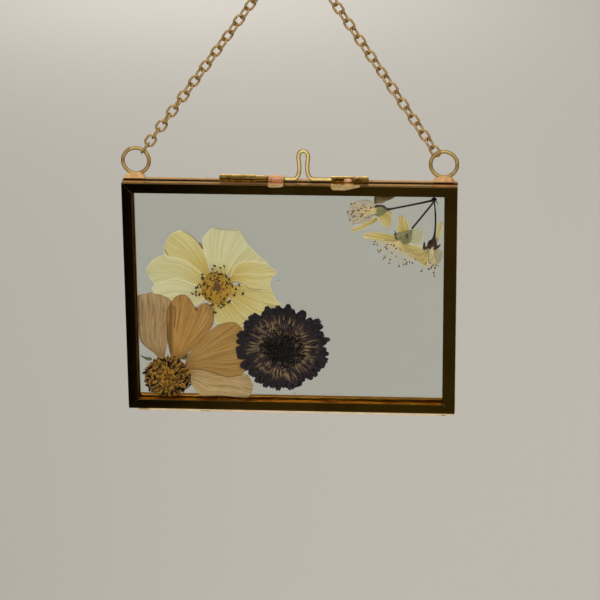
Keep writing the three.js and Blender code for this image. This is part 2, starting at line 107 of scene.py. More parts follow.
# cloudy tarnish and handling marks, fine rolling lines, and a bump for both
handled, given, result = effect(
    "handled metal",
    [("Cloud scale", 120.0), ("Line scale", 900.0), ("Bright", (1, 1, 1, 1)), ("Dull", (0.5, 0.4, 0.3, 1)),
     ("Polish", 0.16), ("Wear", 0.16), ("Relief", 0.15)],
    [("Color", "NodeSocketColor"), ("Roughness", "NodeSocketFloat"), ("Normal", "NodeSocketVector")])
where = put(handled, "ShaderNodeTexCoord").outputs["Object"]
stretched = put(handled, "ShaderNodeMapping", {"Vector": where, "Scale": (1, 6, 6)}).outputs[0]
cloud = put(handled, "ShaderNodeTexNoise", {"Vector": where, "Scale": given["Cloud scale"], "Detail": 5,
                                            "Roughness": 0.6}).outputs["Fac"]
lines = put(handled, "ShaderNodeTexNoise", {"Vector": stretched, "Scale": given["Line scale"],
                                            "Detail": 3}).outputs["Fac"]
stain = put(handled, "ShaderNodeMapRange", {"Value": cloud, "From Min": 0.42, "From Max": 0.72}).outputs[0]
relief = sums(handled, "MULTIPLY_ADD", lines, 0.25, cloud)
bump = put(handled, "ShaderNodeBump", {"Height": relief, "Strength": given["Relief"], "Distance": 0.0001})
handled.links.new(blend(handled, stain, given["Bright"], given["Dull"]), result.inputs["Color"])
handled.links.new(sums(handled, "MULTIPLY_ADD", stain, given["Wear"], given["Polish"]),
                  result.inputs["Roughness"])
handled.links.new(bump.outputs[0], result.inputs["Normal"])


def brass(name, bright, dull, metallic=1.0, edge=None, **values):
    """Handled metal. With an edge shade colour, it darkens to it where it turns away from the view: painted
    shade on the sides of round wire.
    """
    made, tree, shader = finish_of(name, Metallic=metallic)
    worn_metal = put(tree, "ShaderNodeGroup", {}, node_tree=handled)
    worn_metal.inputs["Bright"].default_value = (*bright, 1)
    worn_metal.inputs["Dull"].default_value = (*dull, 1)
    for label, value in values.items():
        worn_metal.inputs[label.replace("_", " ")].default_value = value
    for source, target in (("Color", "Base Color"), ("Roughness", "Roughness"), ("Normal", "Normal")):
        tree.links.new(worn_metal.outputs[source], shader.inputs[target])
    # painted shade: the colour goes over to the edge colour where the surface turns away from the view
    if edge:
        facing = put(tree, "ShaderNodeLayerWeight", {"Blend": 0.5}).outputs["Facing"]
        edge_shade_share = put(tree, "ShaderNodeMapRange", {"Value": facing, "From Min": 0.05,
                                                  "From Max": 0.45}).outputs[0]
        shaded = blend(tree, edge_shade_share, worn_metal.outputs["Color"], (*edge, 1))
        tree.links.new(shaded, shader.inputs["Base Color"])
    return made


# The edge colour is painted shade where the wire turns away from the view.
wire_brass = brass("wire brass", (0.95, 0.66, 0.27), (0.70, 0.43, 0.14), metallic=0.78,
                   edge=(0.34, 0.18, 0.04), Cloud_scale=400.0, Line_scale=1500.0, Polish=0.2)


def cleared():
    """Nothing selected, in object mode."""
    if bpy.context.object and bpy.context.object.mode != "OBJECT":
        bpy.ops.object.mode_set(mode="OBJECT")
    bpy.ops.object.select_all(action="DESELECT")


def alone(*pieces):
    """Everything deselected but these, the last one active."""
    cleared()
    for piece in pieces:
        piece.select_set(True)
        bpy.context.view_layer.objects.active = piece
    return pieces[-1]


def copied(piece, place, name="copy"):
    """A copy with its own mesh, moved by a matrix."""
    twin = piece.copy()
    twin.data = piece.data.copy()
    twin.data.transform(place)
    twin.name = name
    bpy.context.scene.collection.objects.link(twin)
    return twin


def joined(name, pieces):
    whole = alone(*pieces)
    bpy.ops.object.join()
    whole.name = whole.data.name = name
    return whole


def settled(piece):
    """Its place put into its mesh, so that the object sits at the origin."""
    alone(piece)
    bpy.ops.object.transform_apply(location=True, rotation=True, scale=True)
    return piece


def stood(name, data):
    """A new object for a mesh or a curve, the only one selected."""
    piece = bpy.data.objects.new(name, data)
    bpy.context.scene.collection.objects.link(piece)
    return alone(piece)


def dressed(piece, skins, node, body="back"):
    """Given its material or materials, the body it rides on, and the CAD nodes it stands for."""
    piece.data.materials.clear()
    for skin in skins if isinstance(skins, tuple) else (skins,):
        piece.data.materials.append(skin)
    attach(piece, body)
    if node:
        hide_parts(*([node] if isinstance(node, str) else node))
    return piece


def chain_path(count):
    """Each link's middle and direction, the path's points, and its length."""
    a, b, c, d, e = [Vector((x * MM, 0, z * MM)) for x, z in PATH_ENDS]
    over = [b * (1 - t) ** 2 + c * 2 * t * (1 - t) + d * t * t for t in [k / 10 for k in range(1, 10)]]
    fine = [a, b, *over, d, e]
    reach = [0.0]
    for p, q in zip(fine, fine[1:]):
        reach.append(reach[-1] + (q - p).length)
    first = END_GAP * MM
    out = []
    for i in range(count):
        s = first + (reach[-1] - 2 * first) * i / (count - 1)
        k = max(j for j in range(len(reach) - 1) if reach[j] <= s)
        t = (s - reach[k]) / (reach[k + 1] - reach[k])
        out.append((fine[k].lerp(fine[k + 1], t), (fine[k + 1] - fine[k]).normalized()))
    return out, fine, reach[-1]


cleared()
bpy.ops.mesh.primitive_torus_add(major_segments=22, minor_segments=10,
                                 major_radius=(LINK_WIDTH - LINK_WIRE) / 2 * MM,
                                 minor_radius=LINK_WIRE / 2 * MM)
link = bpy.context.object
for vertex in link.data.vertices:
    vertex.co.x += math.copysign((LINK_LENGTH - LINK_WIDTH) / 2 * MM, vertex.co.x)
bpy.ops.object.shade_smooth()
random.seed(5)
middles, route, chain_length = chain_path(LINKS)
towards_camera = Vector((0.07, -0.935, 0.347))
links = []
for number, (middle, along) in enumerate(middles):
    facing = (towards_camera - along * towards_camera.dot(along)).normalized()
    share = number / (LINKS - 1)
    sway = 42 * math.sin(math.pi * min(1, share * 1.7)) * (1 if share < 0.5 else 0.8)
    twist = 90 * (number + 1) + sway + random.uniform(-5, 5)
    if share > 0.5:
        twist = 90 * number + 38 + random.uniform(-5, 5)
    side = along.cross(facing)
    turn = Matrix.Rotation(math.radians(twist), 3, along)
    axes = Matrix((along, turn @ side, turn @ along.cross(side))).transposed()
    links.append(copied(link, Matrix.Translation(middle) @ axes.to_4x4()))
bpy.data.objects.remove(link)
chain = dressed(joined("chain_links", links), wire_brass, "chain")

# ---- rails ----
# Folded brass sheet with crisp but not sharp edges, mitred at the corners. The top faces carry painted
# light and shade by depth, and the inner walls and the faces beside the gap are darker brass as painted
# shade.
sheet_brass = brass("sheet brass", (0.93, 0.66, 0.18), (0.66, 0.44, 0.09), Cloud_scale=45.0, Line_scale=260.0,
                    Polish=0.12,
                    Wear=0.06, Relief=0.08)


def eased(node, width, segments=2, axis=None):
    """A copy of a CAD node with its edges eased by a small bevel, which then stands for the node.
    With an axis, the edges along it are eased in full and the others by a quarter."""
    piece = copied(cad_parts[node], Matrix(), node + "_eased")
    alone(piece)
    bpy.ops.object.mode_set(mode="EDIT")
    bpy.ops.mesh.select_all(action="SELECT")
    bpy.ops.mesh.remove_doubles(threshold=0.000002)
    bpy.ops.mesh.dissolve_limited(angle_limit=math.radians(1))
    bpy.ops.object.mode_set(mode="OBJECT")
    ease = piece.modifiers.new("ease", "BEVEL")
    ease.width, ease.segments = width * MM, segments
    ease.limit_method, ease.angle_limit = "ANGLE", math.radians(35)
    if axis is not None:
        points = [v.co for v in piece.data.vertices]
        runs = [points[e.vertices[0]] - points[e.vertices[1]] for e in piece.data.edges]
        shares = [1.0 if abs(run.normalized()[axis]) > 0.99 else 0.25 for run in runs]
        piece.data.attributes.new("bevel_weight_edge", "FLOAT", "EDGE").data.foreach_set("value", shares)
        ease.limit_method = "WEIGHT"
    bpy.ops.object.modifier_apply(modifier="ease")
    bpy.ops.object.shade_smooth_by_angle(angle=math.radians(40))
    level = piece.modifiers.new("level", "WEIGHTED_NORMAL")
    level.weight, level.keep_sharp = 100, True
    bpy.ops.object.modifier_apply(modifier="level")
    return piece


# a paler brass for the top faces of the top rails: a painted highlight
painted_top_brass = brass("top brass with painted light and shade", (0.98, 0.74, 0.40), (0.78, 0.50, 0.22), metallic=0.75,
                  Cloud_scale=120.0, Line_scale=500.0, Polish=0.2,
                  Wear=0.12, Relief=0.2)
# painted light and shade by depth: a painted highlight along the back half, painted shade towards the rolled
# front edge, and a band of painted shade over the gap between the halves
top_tree = painted_top_brass.node_tree
top_shader = top_tree.nodes["Principled BSDF"]
depth = put(top_tree, "ShaderNodeSeparateXYZ", {0: put(top_tree,
                                                       "ShaderNodeTexCoord").outputs["Object"]}).outputs[1]
backwards = put(top_tree, "ShaderNodeMapRange", {"Value": depth, "From Min": FRONT * MM,
                                                 "From Max": 2.6 * MM}).outputs[0]
depth_shading = put(top_tree, "ShaderNodeValToRGB", {0: backwards})
stops = depth_shading.color_ramp.elements
for place, tone in ((0.11, 0.2), (0.17, 0.55), (0.36, 0.6), (0.41, 0.05), (0.68, 0.05), (0.75, 0.8)):
    stops.new(place).color = (tone, tone * 0.88, tone * 0.76, 1)
stops[0].color, stops[-1].color = (0.12, 0.08, 0.05, 1), (0.9, 0.87, 0.84, 1)
metal = top_tree.nodes["Group"].outputs["Color"]
toned = put(top_tree, "ShaderNodeVectorMath", {0: metal, 1: depth_shading.outputs[0]},
            operation="MULTIPLY").outputs[0]
top_tree.links.new(toned, top_shader.inputs["Base Color"])
top_shader.inputs["Specular Tint"].default_value = (0.6, 0.38, 0.15, 1)
# The inner walls round the opening are a very dark brass: painted shade for the recessed walls.
shaded_inner_brass = brass("inner wall brass", (0.21, 0.10, 0.014), (0.09, 0.038, 0.005), Cloud_scale=90.0,
                    Line_scale=300.0, Polish=0.3, Wear=0.1, Relief=0.3)
shaded_inner_brass.node_tree.nodes["Principled BSDF"].inputs["Specular Tint"].default_value = (0.5, 0.28, 0.09, 1)
# The faces beside the gap between the halves are near black: painted shade between the parts.
gap_shade_brass = brass("brass in the gap", (0.045, 0.016, 0.003), (0.02, 0.008, 0.002), Polish=0.6)
INWARD = {"top": Vector((0, 0, -1)), "bottom": Vector((0, 0, 1)), "left": Vector((1, 0, 0)),
          "right": Vector((-1, 0, 0))}
for side, inward in INWARD.items():
    for half in ("back", "front"):
        rail = eased(f"{half}_rail_{side}", 0.42, segments=3, axis=0 if side in ("top", "bottom") else 2)
        dressed(rail, (sheet_brass, painted_top_brass, shaded_inner_brass, gap_shade_brass), f"{half}_rail_{side}", half)
        # faces beside the gap get painted shade, the top faces the painted top brass, inward faces the dark
        # inner brass (also painted shade)
        for face in rail.data.polygons:
            deep, within = face.center.y / MM - FRONT, face.normal.dot(inward)
            if 4.7 < deep < 7.5 and abs(within) < 0.9:
                face.material_index = 3
            elif face.normal.z > 0.6 and side == "top":
                face.material_index = 1
            elif within > 0.6 or (half == "back" and within > -0.3 and face.normal.y < 0.5):
                face.material_index = 2
            else:
                face.material_index = 0

# ---- panes ----
# Two sheets of clear float glass, a little green at this thickness, one held in each half. The flowers
# lie pressed between them.
glass = finish_of("float glass", Base_Color=(0.92, 0.945, 0.93, 1), Roughness=0.0, Transmission_Weight=1.0,
                  IOR=1.5)[0]
for node in ("back_pane", "front_pane"):
    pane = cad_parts[node]
    pane.data.materials.clear()
    pane.data.materials.append(glass)

# ---- cream flower ----
# Eight broad papery petals, pressed and dried nearly flat, overlapping round a ring of stamens: golden
# filaments with brown anthers about a tangled brown centre. It lies loose between the panes, in the lower
# left of the frame.
FACE_MIDDLE = Vector((-3.99, FRONT, -193.66))
CREAM_AT = (-40.7, 4.1)


def spot(x, y, z):
    """A point in millimetres about the middle of the frame's front face, in metres from the hanging point."""
    return (FACE_MIDDLE + Vector((x, y, z))) * MM


def layer(number):
    """How far behind the front face a petal lies, the first layer in front."""
    return 5.87 + 0.18 * number


def thickened(piece, thick, angle):
    """A sheet given a thickness in millimetres, smooth but for creases sharper than the angle."""
    body = piece.modifiers.new("body", "SOLIDIFY")
    body.thickness, body.offset = thick * MM, 0
    bpy.ops.object.modifier_apply(modifier="body")
    bpy.ops.object.shade_smooth_by_angle(angle=math.radians(angle))
    return piece


def smooth_line(points, count):
    """A curve through the points, cut into equal steps."""
    spots = [Vector(p) for p in points]
    spots = [2 * spots[0] - spots[1]] + spots + [2 * spots[-1] - spots[-2]]
    fine = []
    for a, b, c, d in zip(spots, spots[1:], spots[2:], spots[3:]):
        for k in range(10):
            t = k / 10
            straight, third = 2 * b + (c - a) * t, 3 * b - a - 3 * c + d
            fine.append(0.5 * (straight + (2 * a - 5 * b + 4 * c - d) * t * t + third * t ** 3))
    fine.append(spots[-2])
    reach = [0.0]
    for p, q in zip(fine, fine[1:]):
        reach.append(reach[-1] + (q - p).length)
    out, k = [], 0
    for i in range(count + 1):
        s = reach[-1] * i / count
        while k < len(reach) - 2 and reach[k + 1] < s:
            k += 1
        out.append(fine[k].lerp(fine[k + 1], (s - reach[k]) / max(1e-9, reach[k + 1] - reach[k])))
    return out


def sheet_mesh(name, rows, roots, rims, shading_lines, widths):
    """A grid of points with its pattern map in millimetres, its share from root to tip, its distance
    from the edge and its painted highlights and shadows, as one mesh."""
    across = len(rows[0])
    mesh = bpy.data.meshes.new(name)
    faces = [(j * across + i, j * across + i + 1, (j + 1) * across + i + 1, (j + 1) * across + i)
             for j in range(len(rows) - 1) for i in range(across - 1)]
    mesh.from_pydata([p for row in rows for p in row], [], faces)
    for label, values in (("root", roots), ("rim", rims), ("painted_shading", shading_lines)):
        mesh.attributes.new(label, "FLOAT", "POINT").data.foreach_set("value", values)
    pattern = mesh.uv_layers.new(name="pattern")
    for loop in mesh.loops:
        j, i = divmod(loop.vertex_index, across)
        pattern.data[loop.index].uv = (widths[0] * i / (across - 1), widths[1] * j / (len(rows) - 1))
    return mesh


def petal(name, at, number, left, tip, right, skin, node, shading_lines=(), step=0.45, thick=0.1,
          ripple=0.035,
          shiver=0.22, puff=0.0):
    """A petal drawn up its left edge, across its tip and up its right edge.
    marks are lines of painted light and shade: points, width, strength; a positive strength paints a
    highlight, a negative one a shadow or shade."""
    top = [left[-1], *tip, right[-1]]
    span = sum((Vector(p) - Vector(q)).length for p, q in zip(top, top[1:]))
    rise = sum((Vector(p) - Vector(q)).length for p, q in zip(left, left[1:]))
    across, along = max(8, round(span / step)), max(8, round(rise / step))
    l, r, t = smooth_line(left, along), smooth_line(right, along), smooth_line(top, across)
    b = [l[0].lerp(r[0], i / across) for i in range(across + 1)]
    rim = smooth_line(left, 400) + smooth_line(top, 400)[1:] + smooth_line(right, 400)[::-1]
    tree = kdtree.KDTree(len(rim))
    for index, p in enumerate(rim):
        tree.insert((p.x, p.y, 0), index)
    tree.balance()
    lines = [(smooth_line(points, 60), width, strength) for points, width, strength in shading_lines]
    rows, roots, rims, stains = [], [], [], []
    for j in range(along + 1):
        v, row = j / along, []
        for i in range(across + 1):
            u = i / across
            p = (b[i] * (1 - v) + t[i] * v + l[j] * (1 - u) + r[j] * u
                 - b[0] * (1 - u) * (1 - v) - b[-1] * u * (1 - v) - t[0] * (1 - u) * v - t[-1] * u * v)
            stir = Vector((p.x * 0.35 + at[0], p.y * 0.35 + at[1], 0.3))
            wander = Vector((noise.noise(stir), noise.noise(stir + Vector((7, 3, 1)))))
            shift = wander * shiver * min(1, 3 * v)
            rims.append(tree.find((p.x, p.y, 0))[2])
            roots.append(v)
            # painted light and shade from the lines: positive for a highlight, negative for a shadow or shade
            stain = 0.0
            for line, width, strength in lines:
                near = min((p - q).length_squared for q in line)
                stain += strength * math.exp(-near / (width * width))
            stains.append(stain)
            p = p + shift
            bend = noise.noise(Vector((at[0] + p.x, at[1] + p.y, 0)) * 0.13) * 0.07
            fold = ripple * math.sin(u * span * 1.9 + 3 * noise.noise(stir * 0.7)) * min(1, v * 2)
            bulge = puff * math.sqrt(min(1, rims[-1] / 2))
            row.append(spot(at[0] + p.x, layer(number) + bend + fold - bulge, at[1] + p.y))
        rows.append(row)
    mesh = sheet_mesh(name, rows, roots, rims, stains, (span, rise))
    piece = stood(name, mesh)
    bpy.ops.object.mode_set(mode="EDIT")
    bpy.ops.mesh.select_all(action="SELECT")
    bpy.ops.mesh.normals_make_consistent(inside=False)
    bpy.ops.object.mode_set(mode="OBJECT")
    return dressed(thickened(piece, thick, 50), skin, node)


# papery petal tissue: veins that run from the root, a stained root, cloudy blotches, a band of the rim colour
# along the edge (on the cream petals a painted highlight), and painted highlights and shadows along given
# lines
tissue, given, result = effect(
    "petal tissue",
    [("Body", (1, 1, 1, 1)), ("Tip", (1, 1, 1, 1)), ("Root", (1, 1, 1, 1)), ("Vein", (1, 1, 1, 1)),
     ("Light", (1, 1, 1, 1)), ("Rim", (1, 1, 1, 1)), ("Shadow", (0, 0, 0, 1)), ("Vein scale", 1.0),
     ("Vein strength", 0.5), ("Blotch", 0.35), ("Root length", 0.3), ("Rim width", 0.45)],
    [("Color", "NodeSocketColor"), ("Normal", "NodeSocketVector")])


def slope(tree, value, low, high, start=0.0, end=1.0):
    return put(tree, "ShaderNodeMapRange", {"Value": value, "From Min": low, "From Max": high,
                                            "To Min": start,
               "To Max": end}, interpolation_type="SMOOTHSTEP").outputs[0]


grain = put(tissue, "ShaderNodeUVMap", uv_map="pattern").outputs[0]
drawn = put(tissue, "ShaderNodeMapping", {"Vector": grain, "Scale": (1, 0.05, 1)}).outputs[0]
fine_veins = put(tissue, "ShaderNodeTexNoise", {"Vector": drawn, "Scale": given["Vein scale"], "Detail": 4,
                                                "Roughness": 0.65}).outputs[0]
broad = put(tissue, "ShaderNodeTexNoise", {"Vector": drawn, "Scale": 0.45, "Detail": 2}).outputs[0]
stripes = put(tissue, "ShaderNodeTexNoise", {"Vector": put(tissue, "ShaderNodeMapping",
                                                           {"Vector": grain, "Location": (31, 5, 0),
              "Scale": (1, 0.04, 1)}).outputs[0], "Scale": sums(tissue, "MULTIPLY", given["Vein scale"], 0.6),
              "Detail": 3}).outputs[0]
clouds = put(tissue, "ShaderNodeTexNoise", {"Vector": put(tissue, "ShaderNodeTexCoord").outputs["Object"],
                                            "Scale": 420, "Detail": 5,
             "Roughness": 0.65}).outputs[0]
root = put(tissue, "ShaderNodeAttribute", attribute_name="root").outputs["Fac"]
rim = put(tissue, "ShaderNodeAttribute", attribute_name="rim").outputs["Fac"]
painted_shading = put(tissue, "ShaderNodeAttribute", attribute_name="painted_shading").outputs["Fac"]
tone = blend(tissue, slope(tissue, root, 0.35, 1.0), given["Body"], given["Tip"])
tone = blend(tissue, sums(tissue, "MULTIPLY", slope(tissue, stripes, 0.46, 0.6), 0.32), tone, given["Light"])
streaky = sums(tissue, "MULTIPLY", slope(tissue, fine_veins, 0.3, 0.62),
               slope(tissue, sums(tissue, "DIVIDE", root, given["Root length"]), 0.0, 1.0, 1.0, 0.0))
tone = blend(tissue, streaky, tone, given["Root"])
channels = put(tissue, "ShaderNodeTexNoise", {"Vector": put(tissue, "ShaderNodeMapping",
                                                            {"Vector": grain,
                                                                    "Scale": (1, 0.03, 1)}).outputs[0],
               "Scale": sums(tissue, "MULTIPLY", given["Vein scale"], 0.55), "Detail": 1.5}).outputs[0]
threads = slope(tissue, sums(tissue, "ABSOLUTE", sums(tissue, "SUBTRACT", channels, 0.5)), 0.01, 0.085, 1.0,
                0.0)
veined = sums(tissue, "MULTIPLY", threads, given["Vein strength"])
tone = blend(tissue, veined, tone, given["Vein"])
patchy = sums(tissue, "MULTIPLY", slope(tissue, sums(tissue, "MULTIPLY_ADD", broad, 0.5,
                                                     sums(tissue, "MULTIPLY", clouds, 0.5)), 0.4, 0.65),
                                                     given["Blotch"])
tone = blend(tissue, patchy, tone, given["Root"])
# a band of the rim colour along every edge: on the cream petals a painted highlight along the lit edges, on
# the brown ones a darker edge
edge_band = slope(tissue, sums(tissue, "DIVIDE", rim, given["Rim width"]), 0.3, 1.0, 0.75, 0.0)
tone = blend(tissue, edge_band, tone, given["Rim"])
# painted light and shade along given lines: a painted highlight in the rim colour where positive, a painted
# shadow or shade in the shadow colour where negative
tone = blend(tissue, slope(tissue, painted_shading, 0.0, 1.0), tone, given["Rim"])
tone = blend(tissue, slope(tissue, painted_shading, 0.0, -1.0), tone, given["Shadow"])
ridge = sums(tissue, "MULTIPLY_ADD", clouds, 0.35, sums(tissue, "MULTIPLY_ADD", threads, -0.4, fine_veins))
relief = put(tissue, "ShaderNodeBump", {"Height": ridge, "Strength": 0.35, "Distance": 0.0003}).outputs[0]
tissue.links.new(tone, result.inputs["Color"])
tissue.links.new(relief, result.inputs["Normal"])


def petal_skin(name, alpha=1.0, **values):
    made, tree, shader = finish_of(name, Roughness=0.8, Specular_IOR_Level=0.1, Alpha=alpha)
    skin = put(tree, "ShaderNodeGroup", {}, node_tree=tissue)
    for label, value in values.items():
        plain = (*value, 1) if isinstance(value, tuple) else value
        skin.inputs[label.replace("_", " ")].default_value = plain
    tree.links.new(skin.outputs["Color"], shader.inputs["Base Color"])
    tree.links.new(skin.outputs["Normal"], shader.inputs["Normal"])
    return made


pale_cream = petal_skin("pale cream petal", 0.96, Body=(0.60, 0.56, 0.33), Tip=(0.60, 0.57, 0.36),
                        Root=(0.57, 0.42, 0.08), Light=(0.70, 0.67, 0.46),
                        Vein=(0.44, 0.37, 0.15), Rim=(0.74, 0.70, 0.50), Shadow=(0.14, 0.11, 0.05),
                        Root_length=0.3, Blotch=0.2, Vein_strength=0.32)
warm_cream = petal_skin("warm cream petal", 0.96, Body=(0.58, 0.49, 0.21), Tip=(0.60, 0.52, 0.26),
                        Root=(0.51, 0.32, 0.04), Light=(0.68, 0.60, 0.33),
                        Vein=(0.40, 0.29, 0.07), Rim=(0.76, 0.69, 0.45), Shadow=(0.14, 0.10, 0.03),
                        Root_length=0.62, Blotch=0.3, Vein_strength=0.36)
soft_cream = petal_skin("soft cream petal", 0.96, Body=(0.58, 0.52, 0.28), Tip=(0.57, 0.53, 0.32),
                        Root=(0.53, 0.37, 0.06), Light=(0.68, 0.62, 0.40),
                        Vein=(0.42, 0.33, 0.12), Rim=(0.76, 0.70, 0.50), Shadow=(0.14, 0.11, 0.04),
                        Root_length=0.48, Blotch=0.25, Vein_strength=0.32)

petal("cream_top", CREAM_AT, 1,
      [(-1.5, 9), (-5, 16), (-7.2, 24), (-7.8, 28.5)],
      [(-5.5, 32), (-1, 35.4), (5, 34.6), (8.5, 34.2), (13, 34.5)],
      [(5.5, 8.5), (10, 16.5), (13.5, 20.8), (18.5, 24.4)], pale_cream, "cream_petal_top",
      [([(-1, 35.2), (5, 34.3), (12, 34.2)], 0.35, -0.8), ([(14, 33), (16, 28.5), (18.3, 24.6)], 0.3, -0.5),
       ([(9.4, 33), (12, 29.6)], 0.3, -0.25), ([(-2, 9.5), (-5, 16), (-7, 22)], 0.35, 0.42),
       ([(5.8, 8.8), (10, 16.5), (18, 24)], 0.45, 0.48)])
petal("cream_upper_left", CREAM_AT, 2,
      [(-6.5, 6), (-12.5, 12), (-18.5, 16), (-27.3, 17.6)],
      [(-29.3, 22.5), (-25.5, 30.5), (-22, 32.6), (-18.5, 33.2), (-13.5, 30.5)],
      [(-3.5, 10.5), (-5.2, 16), (-7.2, 24.5)], warm_cream, "cream_petal_upper_left",
      [([(-18.3, 33), (-13.6, 30.3), (-10, 26.8)], 0.35, -0.7), ([(-9.3, 26.2), (-7.6, 23.2)], 0.5, -1.3),
       ([(-5.6, 17.5), (-3, 11.5)], 0.4, -0.7), ([(-28.6, 22.3), (-26.8, 18.4)], 0.3, -0.9),
       ([(-7, 6.6), (-12.5, 12.2), (-18.5, 16.2), (-27, 17.9)], 0.45, 0.54),
       ([(-20, 24.2), (-18.6, 23.2)], 0.35, -0.35)])
petal("cream_right", CREAM_AT, 2,
      [(7.2, 6.6), (10, 13), (15, 16), (21, 16.5)], [(26, 15.5), (33, 10), (30.4, 6.5), (29, 2.5)],
      [(7.5, 3.5), (13.2, 3.3), (17.2, 0), (21, -1), (25.5, -0.4)], warm_cream, "cream_petal_right",
      [([(8.2, 3.6), (13.2, 3.2), (17.2, 0), (21, -1), (25.2, -0.5)], 0.33, -1.2),
       ([(8.4, 4.6), (13.5, 4.2), (18, 1), (25, 0.6)], 0.4, 0.36),
       ([(10, 8), (20, 9), (31.5, 8.8)], 0.45, 0.48), ([(8, 8), (10.5, 13), (15.2, 15.7), (21, 16),
                                                        (26, 14.8)], 0.45, 0.54)])
petal("cream_upper_right", CREAM_AT, 3,
      [(5.5, 8.5), (8, 14), (13, 21)], [(18, 24.8), (22.5, 20.2), (29, 14)],
      [(8.2, 6.8), (14, 10.5), (21, 12)],
      soft_cream, "cream_petal_upper_right", [([(22.5, 19.6), (27, 15.6)], 0.4, 0.5)])
petal("cream_left", CREAM_AT, 3,
      [(-6.5, -1), (-13, 1.7), (-18.5, 3.7), (-23, 4.9), (-28.5, 3.4), (-35, 1.3)],
      [(-37.8, 6), (-39.2, 10), (-36.5, 14.4), (-34, 17)],
      [(-6.2, 5), (-12.5, 13.5), (-21.5, 17.5), (-29.5, 18.8)], soft_cream, "cream_petal_left",
      [([(-34.6, 1.6), (-28.3, 3.6), (-23, 5.2), (-18.5, 4), (-13, 2), (-7, 0)], 0.45, 0.60),
       ([(-29, 18), (-28.6, 14), (-28.8, 9)], 1.2, -0.08)])
petal("cream_lower_right", CREAM_AT, 3,
      [(7, 1.5), (17.5, 3), (28.8, 4)], [(30.8, -1.5), (32.2, -5.5), (35.5, -9.5), (37, -16.5), (31, -20)],
      [(5.5, -4.5), (12.5, -14), (20.5, -19)], warm_cream, "cream_petal_lower_right",
      [([(30.2, 1.5), (31.6, -3.4)], 0.35, -0.8), ([(10, -1.5), (20, -4), (33, -9)], 0.5, 0.3),
       ([(9, -6), (18, -12), (28, -18)], 0.5, 0.3)])
petal("cream_lower_left", CREAM_AT, 4,
      [(-5.2, -5.2), (-13, -11.5), (-21, -14.5)], [(-29, -12), (-34.5, -5.5), (-36, 0)],
      [(-7, 0), (-14, 2.5), (-22, 6.8), (-30, 4.2)], pale_cream, "cream_petal_lower_left")
petal("cream_bottom", CREAM_AT, 4,
      [(-2.5, -6.5), (-4.5, -14), (-1.5, -20.5)], [(6, -23.5), (13.5, -25.5), (21.5, -26.5), (25.5, -22.5)],
      [(4.5, -6), (12, -11), (20.5, -16)], warm_cream, "cream_petal_bottom")

# dried bits: two colours by each bit's own tone, with a little mottling
bits, given, result = effect("dried bits", [("First", (1, 1, 1, 1)), ("Second", (1, 1, 1, 1)),
                                            ("Third", (1, 1, 1, 1)), ("Mottle scale", 900.0)],
                             [("Color", "NodeSocketColor"), ("Normal", "NodeSocketVector")])
own = put(bits, "ShaderNodeAttribute", attribute_name="tone").outputs["Fac"]
speckle = put(bits, "ShaderNodeTexNoise", {"Vector": put(bits, "ShaderNodeTexCoord").outputs["Object"],
                                           "Scale": given["Mottle scale"], "Detail": 3}).outputs[0]
shade = blend(bits, slope(bits, sums(bits, "MULTIPLY_ADD", speckle, 0.5, own), 0.3, 0.8), given["First"],
              given["Second"])
shade = blend(bits, slope(bits, sums(bits, "MULTIPLY_ADD", speckle, 0.5, own), 0.85, 1.3), shade,
              given["Third"])
rough = put(bits, "ShaderNodeBump", {"Height": speckle, "Strength": 0.6, "Distance": 0.0002}).outputs[0]
bits.links.new(shade, result.inputs["Color"])
bits.links.new(rough, result.inputs["Normal"])


def bit_skin(name, first, second, third, scale=900.0, roughness=0.75, alpha=1.0):
    made, tree, shader = finish_of(name, Roughness=roughness, Specular_IOR_Level=0.08, Alpha=alpha)
    skin = put(tree, "ShaderNodeGroup", {}, node_tree=bits)
    for label, value in (("First", (*first, 1)), ("Second", (*second, 1)), ("Third", (*third, 1)),
                         ("Mottle scale", scale)):
        skin.inputs[label].default_value = value
    tree.links.new(skin.outputs["Color"], shader.inputs["Base Color"])
    tree.links.new(skin.outputs["Normal"], shader.inputs["Normal"])
    return made


def threads(name, runs, thick, rounding):
    """Round wires in one mesh. Each is a list of points in millimetres with a share of the thickness."""
    curve = bpy.data.curves.new(name, "CURVE")
    curve.dimensions, curve.use_fill_caps = "3D", True
    curve.bevel_depth, curve.bevel_resolution = thick * MM, rounding
    for run in runs:
        thread = curve.splines.new("POLY")
        thread.points.add(len(run) - 1)
        for point, (x, y, z, radius) in zip(thread.points, run):
            point.co, point.radius = (*spot(x, y, z), 1), radius
    piece = stood(name, curve)
    bpy.ops.object.convert(target="MESH")
    return piece


def strands(name, runs, skin, node=None, body="back"):
    """Threads whose radius is given at each point: (x, y, z, r)."""
    piece = threads(name, runs, 1, 1)
    piece.data.attributes.new("tone", "FLOAT", "POINT")
    bpy.ops.object.shade_smooth()
    return dressed(piece, skin, node, body)


def scattered(name, pattern, places, skin, node=None):
    """Copies of one small shape, each placed by a matrix and given a tone of its own, in one mesh."""
    points, faces, tone = [], [], []
    for place in places:
        base = len(points)
        points += [place @ v.co for v in pattern.data.vertices]
        faces += [[base + i for i in p.vertices] for p in pattern.data.polygons]
        tone += [random.random()] * len(pattern.data.vertices)
    mesh = bpy.data.meshes.new(name)
    mesh.from_pydata(points, [], faces)
    mesh.attributes.new("tone", "FLOAT", "POINT").data.foreach_set("value", tone)
    piece = stood(name, mesh)
    bpy.ops.object.shade_smooth()
    return dressed(piece, skin, node)


